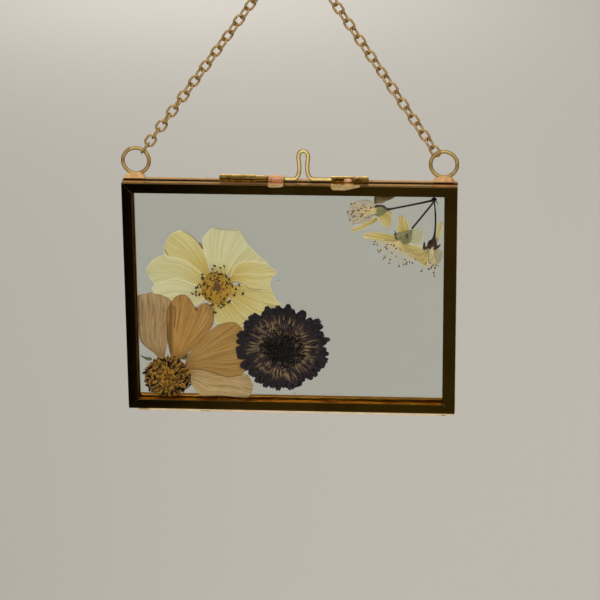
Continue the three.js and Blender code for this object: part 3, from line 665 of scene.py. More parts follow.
def mat(name, at, y, reach, skin):
    """A thin ragged disc under a flower's head. reach is its radius in millimetres, all the way round."""
    points, count = [], 144
    for row in range(9):
        for k in range(count):
            a = 2 * math.pi * k / count
            place = k * len(reach) / count
            j = int(place)
            r = reach[j] * (1 - place + j) + reach[(j + 1) % len(reach)] * (place - j)
            ragged = noise.noise(Vector((math.cos(a) * 9, math.sin(a) * 9, at[0])))
            r = r * row / 8 + 0.5 * ragged * row / 8 + 0.02
            rise = 0.09 * noise.noise(Vector((r * math.cos(a), r * math.sin(a), at[1])) * 1.3)
            points.append(spot(at[0] + r * math.cos(a), y + rise, at[1] + r * math.sin(a)))
    faces = [(row * count + k, row * count + (k + 1) % count, (row + 1) * count + (k + 1) % count,
              (row + 1) * count + k)
             for row in range(8) for k in range(count)] + [tuple(reversed(range(count)))]
    mesh = bpy.data.meshes.new(name)
    mesh.from_pydata(points, [], faces)
    mesh.attributes.new("tone", "FLOAT", "POINT").data.foreach_set("value",
            [0.3 + 0.5 * noise.noise(p * 1500) for p in points])
    return dressed(thickened(stood(name, mesh), 0.06, 50), skin, None)


def grain_of(length, width, depth):
    """A small bean lying along X, in millimetres."""
    cleared()
    bpy.ops.mesh.primitive_uv_sphere_add(segments=8, ring_count=6, radius=0.5 * MM)
    bean = bpy.context.object
    for v in bean.data.vertices:
        pinch = 1 - 0.25 * math.exp(-((v.co.x / MM) / 0.2) ** 2)
        v.co = Vector((v.co.x * length, v.co.y * depth * pinch, v.co.z * width * pinch))
    return bean


def lying(x, y, z, angle, size=1.0, tilt=0.0):
    """A place in the plane of the panes, turned by an angle in degrees from X towards Z."""
    turn = Matrix.Rotation(math.radians(-angle), 4, "Y") @ Matrix.Rotation(math.radians(tilt), 4, "X")
    return Matrix.Translation(spot(x, y, z)) @ turn @ Matrix.Scale(size, 4)


golden = bit_skin("golden filament", (0.48, 0.27, 0.025), (0.58, 0.37, 0.06), (0.30, 0.14, 0.015))
anther_brown = bit_skin("brown anther", (0.06, 0.022, 0.005), (0.028, 0.010, 0.003), (0.14, 0.05, 0.008))
anther_green = bit_skin("green anther", (0.03, 0.045, 0.02), (0.06, 0.08, 0.035), (0.02, 0.02, 0.015))
tangle_brown = bit_skin("tangled styles", (0.16, 0.075, 0.03), (0.06, 0.025, 0.02), (0.38, 0.27, 0.10))
cream_bed = bit_skin("filament bed", (0.26, 0.15, 0.02), (0.42, 0.28, 0.05), (0.16, 0.08, 0.015), 700.0)
CREAM_ANTHERS = [(-1.1, 13.2), (2.1, 12.1), (4.2, 13), (-0.1, 9.5), (1.2, 8.3), (2.6, 8.5), (-8.1, 8),
                 (-7.9, 5.5), (-7.1, 2.4),
                 (-3, 8.7), (-2.4, 11.2), (-13.9, -3.4), (-11.8, -2.2), (-11.8, -4.2), (-9.9, -3.9),
                 (-8.1, -3.3),
                 (5.2, 7.1), (6.8, 5.5), (5.4, 3.5), (12.3, 2.2), (14.3, -2.9), (5.5, -3.6), (8.5, 1.3),
                 (-3.6, 5.6), (-5.3, 1),
                 (3.9, -6.2), (6.8, -7.5), (-12, -12.7), (9.5, -3.8), (-3.1, -10)]
GREEN_ANTHERS = [(-10.9, 0.6), (-9.2, 0.9), (2.5, -9.3), (3.6, -10.1), (1.9, -11.3), (-1.4, -14.2),
                 (-11.9, 0)]
mat("cream_bed", CREAM_AT, 6.2, [7.8, 9.2, 9.5, 10.4, 10.2, 9.4, 8.8, 8.6, 9.0, 9.6, 9.2, 9.6, 8.4, 7.6],
    cream_bed)
random.seed(11)
runs, brown_places, green_places = [], [], []
large = CREAM_ANTHERS + GREEN_ANTHERS
more = [(random.uniform(4.5, 10.5), random.uniform(0, 2 * math.pi)) for _ in range(34)]
small = [(r * math.cos(a), r * math.sin(a)) for r, a in more]
for number, (x, z) in enumerate(large + small):
    reach, aim = math.hypot(x, z), math.atan2(z, x)
    start = aim + random.uniform(-0.5, 0.5)
    y = random.uniform(5.55, 5.75)
    run = []
    for k in range(7):
        t = k / 6
        heading = start * (1 - t) + aim * t
        r = 2.2 + (reach - 2.2) * t
        run.append((CREAM_AT[0] + r * math.cos(heading), 6.1 * (1 - t) + y * t,
                    CREAM_AT[1] + r * math.sin(heading), 0.2 - 0.06 * t))
    runs.append(run)
    green = len(CREAM_ANTHERS) <= number < len(large)
    size = random.uniform(0.85, 1.2) if number < len(large) else random.uniform(0.6, 0.95)
    place = lying(CREAM_AT[0] + x, y, CREAM_AT[1] + z, math.degrees(aim) + random.uniform(20, 120), size)
    (green_places if green else brown_places).append(place)
for _ in range(60):
    a, r = random.uniform(0, 2 * math.pi), random.uniform(5, 10.5)
    bend = random.uniform(-0.3, 0.3)
    runs.append([(CREAM_AT[0] + (1.5 + (r - 1.5) * t) * math.cos(a + bend * t), 6.25 - 0.45 * t,
                  CREAM_AT[1] + (1.5 + (r - 1.5) * t) * math.sin(a + bend * t), 0.2 - 0.07 * t) for t in (0,
                          0.25, 0.5, 0.75, 1)])
strands("cream_filaments", runs, golden, "cream_stamens")
bean = grain_of(1.9, 1.15, 0.5)
scattered("cream_anthers", bean, brown_places, anther_brown)
scattered("cream_green_anthers", bean, green_places, anther_green)
runs = []
for _ in range(70):
    a, r = random.uniform(0, 2 * math.pi), random.uniform(0, 4.4)
    x, z = CREAM_AT[0] + 0.4 + r * math.cos(a), CREAM_AT[1] + 0.8 + r * math.sin(a)
    spin, curl = random.uniform(0, 2 * math.pi), random.uniform(1.5, 4.5)
    size = random.uniform(0.5, 1.1)
    runs.append([(x + size * math.cos(spin + curl * t), random.uniform(5.55, 6.1),
                  z + size * math.sin(spin + curl * t), 0.26 - 0.08 * t)
                 for t in (0, 0.2, 0.4, 0.6, 0.8, 1)])
strands("cream_styles", runs, tangle_brown, "cream_centre")
bpy.data.objects.remove(bean)

# ---- brown flower ----
# Four ribbed petals are left round a broad disc of florets. The dried tissue is thin and papery, and where
# two petals lie over each other the overlap is darkened by painted shade. Its sepals show in two places
# behind the disc, and the disc lies in front of all.
BROWN_AT = (-69.6, -49.2)
GOLDEN_TURN = 2.39996  # radians from one floret of a head to the next
FLORETS = 210
pinkish_tan = petal_skin("pinkish tan petal", 0.95, Body=(0.45, 0.295, 0.145), Tip=(0.46, 0.30, 0.145),
                         Root=(0.25, 0.12, 0.03),
                         Light=(0.44, 0.33, 0.20), Vein=(0.15, 0.068, 0.022), Rim=(0.17, 0.085, 0.03),
                         Shadow=(0.13, 0.055, 0.012), Vein_scale=1.9,
                         Vein_strength=0.6, Blotch=0.3, Root_length=0.28, Rim_width=0.35)
tan_petal = petal_skin("tan petal", 0.95, Body=(0.49, 0.265, 0.065), Tip=(0.48, 0.27, 0.08),
                       Root=(0.27, 0.115, 0.018), Light=(0.54, 0.31, 0.105),
                       Vein=(0.13, 0.05, 0.010), Rim=(0.15, 0.07, 0.02), Shadow=(0.13, 0.055, 0.010),
                       Vein_scale=1.9, Vein_strength=0.6,
                       Blotch=0.3, Root_length=0.28, Rim_width=0.35)
straw_petal = petal_skin("straw petal", 0.95, Body=(0.43, 0.25, 0.072), Tip=(0.44, 0.255, 0.068),
                         Root=(0.26, 0.125, 0.025), Light=(0.51, 0.33, 0.12),
                         Vein=(0.17, 0.072, 0.015), Rim=(0.20, 0.10, 0.03), Shadow=(0.15, 0.065, 0.015),
                         Vein_scale=1.8, Vein_strength=0.58,
                         Blotch=0.35, Root_length=0.25, Rim_width=0.35)
beige_petal = petal_skin("beige petal", 0.95, Body=(0.53, 0.365, 0.165), Tip=(0.56, 0.40, 0.205),
                         Root=(0.28, 0.15, 0.04), Light=(0.64, 0.47, 0.28),
                         Vein=(0.19, 0.09, 0.026), Rim=(0.21, 0.11, 0.04), Shadow=(0.15, 0.07, 0.02),
                         Vein_scale=1.8, Vein_strength=0.55,
                         Blotch=0.35, Root_length=0.25, Rim_width=0.35)
petal("brown_first", BROWN_AT, 1,
      [(-4.4, 10.5), (-7.1, 13.8), (-10.2, 16.3), (-13.5, 19.2), (-15.3, 23.5), (-15.5, 35), (-15.4, 48.4)],
      [(-12.8, 49.1), (-10.1, 49.3), (-8.7, 50.3), (-5, 49.2), (-1.7, 48.5), (1.5, 47)],
      [(-1.5, 10.5), (-0.2, 18.2), (1.3, 22.7), (3.4, 31.7), (4.8, 39.7), (3.5, 44.8)], pinkish_tan,
      "brown_petal_first",
      [([(-5.5, 12.6), (-10, 16.6), (-13.6, 20.4)], 0.5, -0.5),
       ([(-3.4, 13.5), (-4.2, 21), (-3.8, 30)], 0.4, -0.4)], ripple=0.055)
petal("brown_second", BROWN_AT, 0,
      [(2.2, 10.5), (1.1, 17.2), (0.1, 23.7), (0.1, 31.7), (0.8, 39.6), (2.3, 43.6)],
      [(4.7, 47.1), (7.6, 48.8), (10.8, 49.2), (13.6, 46.5), (15.8, 43), (17.3, 41.4), (20, 43.5),
       (22.8, 44.7), (25.1, 43), (26.6, 41.1)],
      [(7.6, 10.5), (11.9, 14.7), (17.6, 20.8), (23.4, 27.1), (26.3, 32.1), (26.9, 37.1)], tan_petal,
      "brown_petal_second",
      [([(1.9, 15), (2, 28), (2.7, 36), (2.8, 42.5)], 1.6, -0.75),
       ([(4.6, 30), (5.2, 37), (5, 42)], 0.45, -0.7), ([(0.5, 21), (0.4, 32), (0.8, 40)], 0.4, -0.7),
       ([(12, 15.5), (20, 25), (26, 32.5)], 0.8, -0.4), ([(23.5, 44), (26, 41)], 0.6, -0.3),
       ([(16.4, 43), (17.4, 41)], 0.7, -1.2)],
      ripple=0.055)
petal("brown_third", BROWN_AT, 1,
      [(10, 9), (12.8, 14.9), (17.6, 20.8), (23.4, 26.9), (29.1, 31.7)],
      [(34.7, 33.3), (38.9, 32.6), (43, 28.5), (46.6, 19.6), (48, 10.6)],
      [(10.6, 4.6), (19.1, 4.2), (26.6, 2.2), (34.1, 0.1), (41.6, 1.7)], straw_petal, "brown_petal_third",
      [([(12, 4.8), (19.1, 4.5), (26.6, 2.6), (34, 0.5), (41, 2)], 0.5, -0.7),
       ([(12.5, 9), (24, 11.5), (37, 17)], 0.35, -0.5), ([(13, 11), (22, 16.5), (30, 23)], 0.3, -0.35),
       ([(12, 6), (26, 6.5), (42, 9)], 0.3, -0.5)], ripple=0.055)
petal("brown_fourth", BROWN_AT, 2,
      [(10.8, 4), (19.1, 5.4), (28.5, 5.2), (37.9, 4.4), (45.3, 1.5)],
      [(47.7, -3.5), (47.4, -7.5), (45.1, -11.8)],
      [(9.6, -1.5), (13.7, -5.4), (16.5, -9.4), (19.7, -11.3), (28.2, -10.9), (37.6, -11.6)], beige_petal,
      "brown_petal_fourth",
      [([(14, -1), (26, -3.5), (40, -5)], 0.3, -0.5), ([(12, 1), (26, 0), (44, -1)], 0.9, -0.25)],
      ripple=0.055)
sepal_green = bit_skin("dried sepal", (0.10, 0.10, 0.05), (0.05, 0.05, 0.03), (0.20, 0.18, 0.09))
petal("brown_sepal_behind_left", BROWN_AT, 2, [(-8.4, 10.6), (-10, 11.4), (-12.3, 11.5), (-14.6, 12.6)],
      [(-14.9, 12.3)],
      [(-9.3, 9.3), (-11.5, 9.5), (-13.4, 10.9), (-14.8, 12)], sepal_green, "brown_sepal_left", step=0.3)
petal("brown_sepal_behind_right", BROWN_AT, 3, [(7.2, 11), (8.8, 12.4), (11.4, 15)], [(11.8, 15.3)],
      [(8.6, 10.2), (10.4, 10.4), (11.6, 12.8)],
      sepal_green, "brown_sepal_right", step=0.3)

ANTHERS = [(-3.4, 10.3), (-4.4, 6.3), (1.3, 8.4), (4, 6.5), (6.4, 9), (-7.8, 3.7), (-9.8, 5.2), (-13, 2.4),
           (-10.2, -0.1), (-11.5, -2.1),
           (-11.8, -5.4), (-10.5, -7.9), (-3, -10.2), (-0.7, -10.7), (2.2, -9.6), (6, -7), (8.3, -7.5),
           (9.4, -2.4), (10.9, -0.4),
           (8.6, 3.1), (-7.1, 9.8), (-1.5, 9.9), (3.1, 9.2), (8.7, 6.1), (-7.4, -0.3), (-6.1, -4.3),
           (-8.5, -5.3), (4.5, -9.1),
           (10.8, -4.4), (7.6, 0.5), (4.8, 2), (0.7, 6.9)]
floret_brown = bit_skin("mustard floret", (0.09, 0.036, 0.004), (0.30, 0.13, 0.01), (0.52, 0.29, 0.04), 700.0)
floret_dark = bit_skin("floret bed", (0.05, 0.02, 0.003), (0.12, 0.05, 0.005), (0.24, 0.11, 0.010), 900.0)
anther_black = bit_skin("black anther", (0.006, 0.004, 0.003), (0.014, 0.008, 0.004), (0.03, 0.015, 0.005))
random.seed(21)
bean, tube = grain_of(1.7, 1.0, 0.5), grain_of(2.3, 0.8, 0.55)
places, runs = [], []
for n in range(FLORETS):
    r, a = 13.1 * math.sqrt((n + 0.5) / FLORETS), n * GOLDEN_TURN
    x, z = r * math.cos(a) + random.uniform(-0.4, 0.4), r * math.sin(a) * 0.92 + random.uniform(-0.4, 0.4)
    places.append(lying(BROWN_AT[0] + x, random.uniform(5.62, 5.85), BROWN_AT[1] + z,
                        math.degrees(a) + random.uniform(-50, 50), random.uniform(0.75, 1.15)))
mat("brown_disc_mat", BROWN_AT, 5.9, [13.2, 12.2, 12.4, 11.6, 12, 12.2, 12.8, 13, 12.2, 11.8, 12, 12.4],
    floret_dark)
scattered("brown_disc_florets", tube, places, floret_brown, "brown_flower_disc")
places = [lying(BROWN_AT[0] + x, random.uniform(5.52, 5.6), BROWN_AT[1] + z, random.uniform(0, 180),
                random.uniform(1.25, 1.8)) for x, z in ANTHERS]
for _ in range(95):
    r, a = 13.6 * math.sqrt(random.uniform(0.16, 1)), random.uniform(0, 2 * math.pi)
    places.append(lying(BROWN_AT[0] + r * math.cos(a), random.uniform(5.54, 5.66),
                        BROWN_AT[1] + 0.93 * r * math.sin(a), random.uniform(0, 180),
                        random.uniform(0.6, 1.1)))
scattered("brown_disc_anthers", bean, places, anther_black)
for _ in range(110):
    r, a = random.uniform(2, 11.6), random.uniform(0, 2 * math.pi)
    lean = a + random.uniform(-0.6, 0.6)
    reach = random.uniform(1.2, 2.2)
    x, z = BROWN_AT[0] + r * math.cos(a), BROWN_AT[1] + r * math.sin(a)
    runs.append([(x, 5.68, z, 0.24), (x + reach / 2 * math.cos(lean), 5.6, z + reach / 2 * math.sin(lean),
                                      0.22),
                 (x + reach * math.cos(lean), 5.6, z + reach * math.sin(lean), 0.12)])
gold_thread = bit_skin("golden style", (0.46, 0.23, 0.012), (0.62, 0.38, 0.05), (0.20, 0.08, 0.008))
strands("brown_disc_styles", runs, gold_thread)
bpy.data.objects.remove(tube)

# ---- dark flower ----
# A double flower, pressed face on: three ranks of narrow troughed florets with notched tips, plum-black
# outside and pale straw towards their feet, round a near-black centre of buds that were still closed.
DARK_AT = (-5.7, -30.8)
BUDS = 230
RAY_REACH = [26.8, 27.8, 26.4, 28.2, 25.6, 26, 26.6, 25.4, 25.8, 25.2, 26.8, 25.2, 25.8, 25.4, 27.2,
             26.2, 27, 25.2, 25.2, 26, 24.8, 25.8, 25.8, 24.6, 24.8, 26.4, 26.4, 27.6]
plum, plum_tree, plum_shader = finish_of("plum floret", Roughness=0.75, Specular_IOR_Level=0.06)
foot = put(plum_tree, "ShaderNodeAttribute", attribute_name="root").outputs["Fac"]
own = put(plum_tree, "ShaderNodeAttribute", attribute_name="tone").outputs["Fac"]
side = put(plum_tree, "ShaderNodeAttribute", attribute_name="rim").outputs["Fac"]
streaks = put(plum_tree, "ShaderNodeTexNoise", {"Vector": put(plum_tree,
        "ShaderNodeTexCoord").outputs["Object"], "Scale": 1100, "Detail": 3}).outputs[0]
# the florets go black towards their sides: painted shade between neighbouring florets
plum_side_shaded = blend(plum_tree, sums(plum_tree, "MULTIPLY", slope(plum_tree, streaks, 0.36, 0.62),
                                  slope(plum_tree, side, 0.35, 0.95, 1.0, 0.0)),
                  (0.0012, 0.0009, 0.002, 1), (0.030, 0.017, 0.034, 1))
pale_skin = blend(plum_tree, slope(plum_tree, own, 0.25, 0.9), (0.30, 0.20, 0.085, 1),
                  (0.07, 0.032, 0.032, 1))
straw = sums(plum_tree, "MULTIPLY", slope(plum_tree, sums(plum_tree, "MULTIPLY_ADD", own, 0.22, foot), 0.8,
                                          0.32), slope(plum_tree, side, 0.15, 0.85, 0.25, 1.0))
plum_tree.links.new(blend(plum_tree, sums(plum_tree, "MULTIPLY", straw,
                                          slope(plum_tree, streaks, 0.3, 0.5, 0.35, 1.0)), plum_side_shaded,
                                          pale_skin),
                    plum_shader.inputs["Base Color"])


def rays(name, ranks, node=None):
    """Ranks of florets: count, foot radius, reach (None for the outline's), width, depth and jitter."""
    points, faces, root, rim, tone = [], [], [], [], []
    for count, inner, reach, width, depth, jitter in ranks:
        for n in range(count):
            aim = 2 * math.pi * (n + random.uniform(-jitter, jitter)) / count
            place = aim / (2 * math.pi) * len(RAY_REACH) % len(RAY_REACH)
            k = int(place)
            outline = RAY_REACH[k] * (1 - place + k) + RAY_REACH[(k + 1) % len(RAY_REACH)] * (place - k)
            tip = (reach or outline) * random.uniform(0.95, 1.04)
            broad = width * random.uniform(0.75, 1.2)
            lean, colour = random.uniform(-0.06, 0.06), random.random()
            notch, lift = random.uniform(0.02, 0.09), random.uniform(-0.05, 0.05)
            base = len(points)
            for j in range(9):
                t = j / 8
                taper = 1 if t < 0.82 else 1 - 3.4 * (t - 0.82) ** 1.2
                half = broad / 2 * (0.45 + 0.55 * min(1, t / 0.55)) * taper
                for i in range(5):
                    u = i / 2 - 1
                    cleft = notch * math.exp(-(u / 0.4) ** 2) * t ** 6
                    r = inner + (tip - inner) * (t * (1 - 0.06 * u * u * t) - cleft)
                    turn = aim + lean * t
                    x = DARK_AT[0] + r * math.cos(turn) - u * half * math.sin(turn)
                    z = DARK_AT[1] + r * math.sin(turn) + u * half * math.cos(turn)
                    y = depth + lift - 0.16 * abs(u) * (1 - 0.4 * t) + 0.06 * math.sin(5 * t + colour * 9)
                    points.append(spot(x, y, z))
                    root.append(t)
                    rim.append(abs(u))
                    tone.append(colour)
            faces += [(base + j * 5 + i, base + j * 5 + i + 1, base + j * 5 + i + 6,
                       base + j * 5 + i + 5) for j in range(8) for i in range(4)]
    mesh = bpy.data.meshes.new(name)
    mesh.from_pydata(points, [], faces)
    for label, values in (("root", root), ("rim", rim), ("tone", tone)):
        mesh.attributes.new(label, "FLOAT", "POINT").data.foreach_set("value", values)
    return dressed(thickened(stood(name, mesh), 0.07, 45), plum, node)


random.seed(31)
rays("dark_outer_florets", [(46, 12.5, None, 4.5, 5.84, 0.25)], "dark_rays")
rays("dark_middle_florets", [(42, 12.5, 23.6, 3.6, 5.78, 0.35), (38, 11.5, 20, 2.9, 5.71, 0.35)])
rays("dark_inner_florets", [(34, 10, 15.6, 2.4, 5.64, 0.4), (26, 8, 12.8, 2.2, 5.6, 0.4)])
bud_black = bit_skin("closed bud", (0.0015, 0.0014, 0.002), (0.004, 0.003, 0.0045), (0.014, 0.008, 0.008),
                     800.0)
bud_black.node_tree.nodes["Principled BSDF"].inputs["Specular IOR Level"].default_value = 0.05
mat("dark_bed", DARK_AT, 5.97, [17] * 12, bud_black)
places = []
for n in range(BUDS):
    r, a = 11.9 * math.sqrt((n + 0.5) / BUDS), n * GOLDEN_TURN
    places.append(lying(DARK_AT[0] + 1.6 + r * math.cos(a), random.uniform(5.47, 5.6),
                        DARK_AT[1] - 0.4 + r * math.sin(a),
                        math.degrees(a) + random.uniform(-60, 60), random.uniform(0.85, 1.35)))
scattered("dark_buds", bean, places, bud_black, "dark_centre")
bud_red = bit_skin("reddish bud", (0.04, 0.016, 0.014), (0.07, 0.03, 0.022), (0.12, 0.06, 0.04), 800.0)
places = [lying(DARK_AT[0] + x + random.uniform(-1, 1), 5.5, DARK_AT[1] + z + random.uniform(-1, 1),
                random.uniform(0, 180), random.uniform(0.5, 0.8))
          for x, z in [(-4.5, 3), (-2.5, 2), (-3.5, 4.5), (-1, 3.5), (-5.5, 1), (-1.8, 6), (6.5, 9),
                       (9.6, 2.5), (10.5, -1.5), (4.5, -9.5), (-4, -9.5)]]
scattered("dark_red_buds", bean, places, bud_red)

# ---- blossom sprig ----
# Three small blossoms on black, stiff stalks from one joint, pressed side on. Each has a grey-green or
# brown calyx, the petals that are left on it, papery yellow, and a fan of fine pale stamens with brown
# anthers.
SPRIG_AT = (78.7, 56.7)
stalk_black = bit_skin("dried stalk", (0.016, 0.012, 0.010), (0.03, 0.02, 0.016), (0.05, 0.03, 0.02))
YELLOW = {"Body": (0.70, 0.58, 0.22), "Tip": (0.72, 0.62, 0.31), "Root": (0.42, 0.27, 0.04),
          "Vein": (0.36, 0.22, 0.03), "Light": (0.70, 0.60, 0.28),
          "Rim": (0.72, 0.60, 0.28), "Shadow": (0.22, 0.15, 0.05)}
yellow_petal = petal_skin("yellow petal", 0.85, **YELLOW, Vein_scale=1.6, Vein_strength=0.75, Blotch=0.25)
pale_petal = petal_skin("pale blossom petal", 0.5, Body=(0.58, 0.54, 0.30), Tip=(0.58, 0.55, 0.33),
                        Root=(0.48, 0.40, 0.15), Vein=(0.44, 0.38, 0.17), Light=(0.66, 0.62, 0.40),
                        Rim=(0.70, 0.66, 0.42), Shadow=(0.2, 0.16, 0.08))
pink_petal = petal_skin("pinkish blossom petal", 0.32, Light=(0.70, 0.60, 0.42), Body=(0.62, 0.50, 0.28),
                        Tip=(0.62, 0.50, 0.30), Root=(0.56, 0.38, 0.14), Vein=(0.45, 0.28, 0.10),
                        Rim=(0.46, 0.26, 0.12), Shadow=(0.2, 0.1, 0.05), Vein_scale=1.6, Vein_strength=0.6)
olive_petal = petal_skin("olive scrap", 0.95, Light=(0.22, 0.16, 0.07), Body=(0.16, 0.11, 0.04),
                         Tip=(0.16, 0.10, 0.035), Root=(0.26, 0.18, 0.08), Vein=(0.30, 0.21, 0.10),
                         Rim=(0.10, 0.06, 0.02), Shadow=(0.05, 0.03, 0.01))
sage_calyx = petal_skin("grey-green calyx", 1.0, Light=(0.42, 0.38, 0.19), Body=(0.27, 0.25, 0.11),
                        Tip=(0.30, 0.27, 0.13), Root=(0.13, 0.13, 0.06), Vein=(0.13, 0.12, 0.055),
                        Rim=(0.14, 0.12, 0.06), Shadow=(0.025, 0.016, 0.01), Vein_scale=1.5,
                        Vein_strength=0.7, Blotch=0.9)
brown_calyx = petal_skin("brown calyx", 1.0, Light=(0.05, 0.03, 0.015), Body=(0.035, 0.02, 0.011),
                         Tip=(0.07, 0.045, 0.025), Root=(0.03, 0.02, 0.014), Vein=(0.03, 0.02, 0.012),
                         Rim=(0.02, 0.013, 0.01), Shadow=(0.01, 0.007, 0.005))


def blossom(name, number, left, tip, right, skin, node=None, shading_lines=(), puff=0.0):
    petal(name, SPRIG_AT, number, left, tip, right, skin, node, shading_lines, step=0.3, thick=0.08,
          ripple=0.03, shiver=0.3, puff=puff)


def stem(points):
    """A stalk from points (x, z, radius), smoothed."""
    line = smooth_line(points, 14)
    return [(SPRIG_AT[0] + p.x, 6.1, SPRIG_AT[1] + p.y, p.z) for p in line]


strands("sprig_stalks", [stem([(0.2, 0.8, 0.75), (-2.3, -0.3, 0.62), (-14.3, -3.1, 0.5), (-23, -5.0, 0.55),
                               (-25.3, -5.5, 0.95)]),
                         stem([(0, 0.4, 0.7), (-0.8, -1.6, 0.55), (-5.9, -8.4, 0.55), (-11.9, -16.2, 0.6)]),
                         stem([(0.1, 0.6, 0.7), (0.3, -1.8, 0.42), (0.9, -8.8, 0.55), (0.8, -16, 0.55),
                               (0.4, -19.8, 0.7), (0, -22, 0.95)]),
                         stem([(0.9, 0.3, 0.3), (1.6, -1.1, 0.22), (2.3, -2.3, 0.14)]),
                         stem([(-1.2, 0.5, 0.6), (-0.3, 0.9, 1.0), (0.5, 0.6, 1.15), (1.1, 0.2, 0.8)]),
                         stem([(-21.2, -17.4, 0.1), (-21, -19.6, 0.4), (-21.8, -20.1, 0.35)]),
                         stem([(-20.4, -18.6, 0.12), (-20.8, -20.3, 0.45), (-20.2, -22.6, 0.5)])],
        stalk_black, ("stalk_upper", "stalk_middle", "stalk_lower"))
blossom("calyx_upper_cup", 0.5, [(-25.1, -5.0), (-27.2, -3.1), (-29.3, -2.6), (-31.8, -2.9)],
        [(-32.5, -5.5), (-32.2, -8.4)],
        [(-25.3, -6.1), (-26.4, -7.6), (-28, -8.9), (-30.6, -9.6)], sage_calyx, "calyx_upper",
        [([(-26.0, -4.6), (-27.4, -3.5), (-29.4, -3.1), (-32, -3.5)], 0.75, -1.5),
         ([(-32.2, -3.5), (-32.3, -7)], 0.35, -0.9)], puff=0.25)
blossom("calyx_middle_cup", 0.5, [(-12.1, -16.9), (-14.8, -17.3), (-17.1, -17.8), (-19.6, -18.5)],
        [(-20.9, -20.3), (-20.3, -22.3)],
        [(-11.9, -18), (-11.9, -22.2), (-13.6, -24.9), (-17.8, -24.9)], sage_calyx, "calyx_middle",
        [([(-14.6, -19.4), (-14.3, -21.4)], 0.7, -0.8)], puff=0.25)
blossom("calyx_lower_cup", 0.5, [(-0.3, -20.2), (-1.2, -22), (-2.8, -23.2), (-3.5, -25.4), (-3.7, -27.3)],
        [(-1.2, -28), (1.5, -28)],
        [(0.8, -20.4), (1.2, -22), (1.7, -24.2), (2.3, -26.8)], brown_calyx, "calyx_lower", puff=0.25)
blossom("calyx_lower_lobe_left", 0.4, [(-3.2, -27.5), (-5.3, -28.5), (-5.9, -26.5)],
        [(-5.5, -24.2), (-5, -23.6)], [(-3.4, -26.2), (-4.5, -26.4), (-4.6, -25)],
        brown_calyx)
blossom("calyx_lower_lobe_right", 0.4, [(1.4, -27.9), (2.8, -27.2)], [(3.7, -24.9)],
        [(1.9, -26.2), (2.6, -25.4)], brown_calyx)
blossom("upper_flap", 3.2, [(-30.5, -2.2), (-32.4, -2.2), (-32.5, 1.8)], [(-28, 2)],
        [(-28, -2), (-24.7, -0.2), (-20.4, 1.8)], olive_petal, "blossom_petals_upper",
        [([(-31.6, -2), (-31.6, 1.6)], 0.6, -0.8)])
blossom("upper_petal_behind", 3.0, [(-32.3, -8.5), (-35, -12.4), (-39, -13.7), (-43.1, -14)],
        [(-46, -11.2), (-47.6, -6.9), (-45.6, -3.3)],
        [(-32.3, -3), (-34, -0.8), (-38, -0.1), (-43.1, -1.3)], pink_petal, None,
        [([(-33, -0.9), (-38, -0.3), (-43, -1.6)], 0.4, -0.6)])
blossom("upper_petal_low", 2.6, [(-31.5, -9.8), (-34.2, -11.8), (-36.4, -12.8), (-39.7, -14.7),
                                 (-42.7, -16.5)], [(-45.8, -17.3), (-45, -18.4)],
        [(-30.4, -11.6), (-33, -13.8), (-35.1, -14.6), (-38.1, -16.4), (-42.7, -18.6)], yellow_petal)
blossom("upper_petal_right", 2.8, [(-31.2, -9), (-29.4, -11.8), (-27.2, -15.2)],
        [(-25.1, -15.7), (-23.2, -14.6)], [(-27.6, -7.6), (-25.3, -6.8), (-23.2, -7), (-22.8, -10.4)],
        yellow_petal)
blossom("middle_petal_up", 2.7, [(-18.4, -19.2), (-20.3, -17), (-19.2, -13.5)],
        [(-19.4, -9.7), (-17.5, -8.9), (-16.3, -9.9)],
        [(-13.2, -18.7), (-13.2, -16), (-14.7, -12.1)], yellow_petal, "blossom_petals_middle")
blossom("middle_petal_left", 3.2, [(-19.5, -21.2), (-24.7, -19.7), (-30.5, -18.9)],
        [(-37.2, -19), (-38.2, -20.5), (-37.8, -22.1)],
        [(-18.6, -25.4), (-23, -24.6), (-28.8, -23.8), (-33.9, -23)], yellow_petal, None,
        [([(-19.5, -24.8), (-23.5, -23.4), (-27, -23.2)], 0.6, -0.5)])
blossom("middle_petal_right", 3.4, [(-13.8, -17.8), (-9.8, -15.6)],
        [(-6.2, -16.4), (-5.4, -18.8), (-5.8, -21.2)],
        [(-14.4, -23.4), (-12.5, -24.8), (-9.6, -25.7), (-7.5, -24.8)], pale_petal)
blossom("middle_petal_low", 3.0, [(-18, -24.6), (-15, -24.9), (-10.4, -25.9), (-6.6, -26.4)],
        [(-5.2, -27.8), (-5.4, -29.6)],
        [(-19.2, -28.9), (-16.2, -30.7), (-12, -30.2), (-8.7, -30.1)], yellow_petal)
blossom("lower_petal_left", 3.8, [(-4.1, -28.7), (-6.2, -27.8), (-9.6, -26.6)],
        [(-12.1, -26.6), (-13.7, -28.9), (-13.9, -31.5)],
        [(-3.2, -30.9), (-3, -34.4), (-3.6, -38.4), (-6.6, -36.6), (-9.9, -34.3)], yellow_petal,
        "blossom_petals_lower")
blossom("lower_petal_middle", 3.9, [(-4.2, -28), (-3.6, -32.2), (-2.8, -35.8)], [(0.2, -37.4), (3.5, -35.9)],
        [(2.3, -27.6), (5, -29), (5.1, -32.1)],
        pale_petal, None, [([(-3.2, -30), (-2.6, -35)], 0.5, -0.5)])
blossom("lower_petal_slim", 4.0, [(0.7, -23.5), (1.2, -19.8), (1.6, -15.8), (2.1, -12.9)], [(3.5, -12.2)],
        [(2.4, -23.7), (3.5, -20.2), (4.6, -16.2), (5, -12.9)],
        petal_skin("slim blossom petal", 0.75, **YELLOW, Vein_scale=1.6, Vein_strength=0.3))

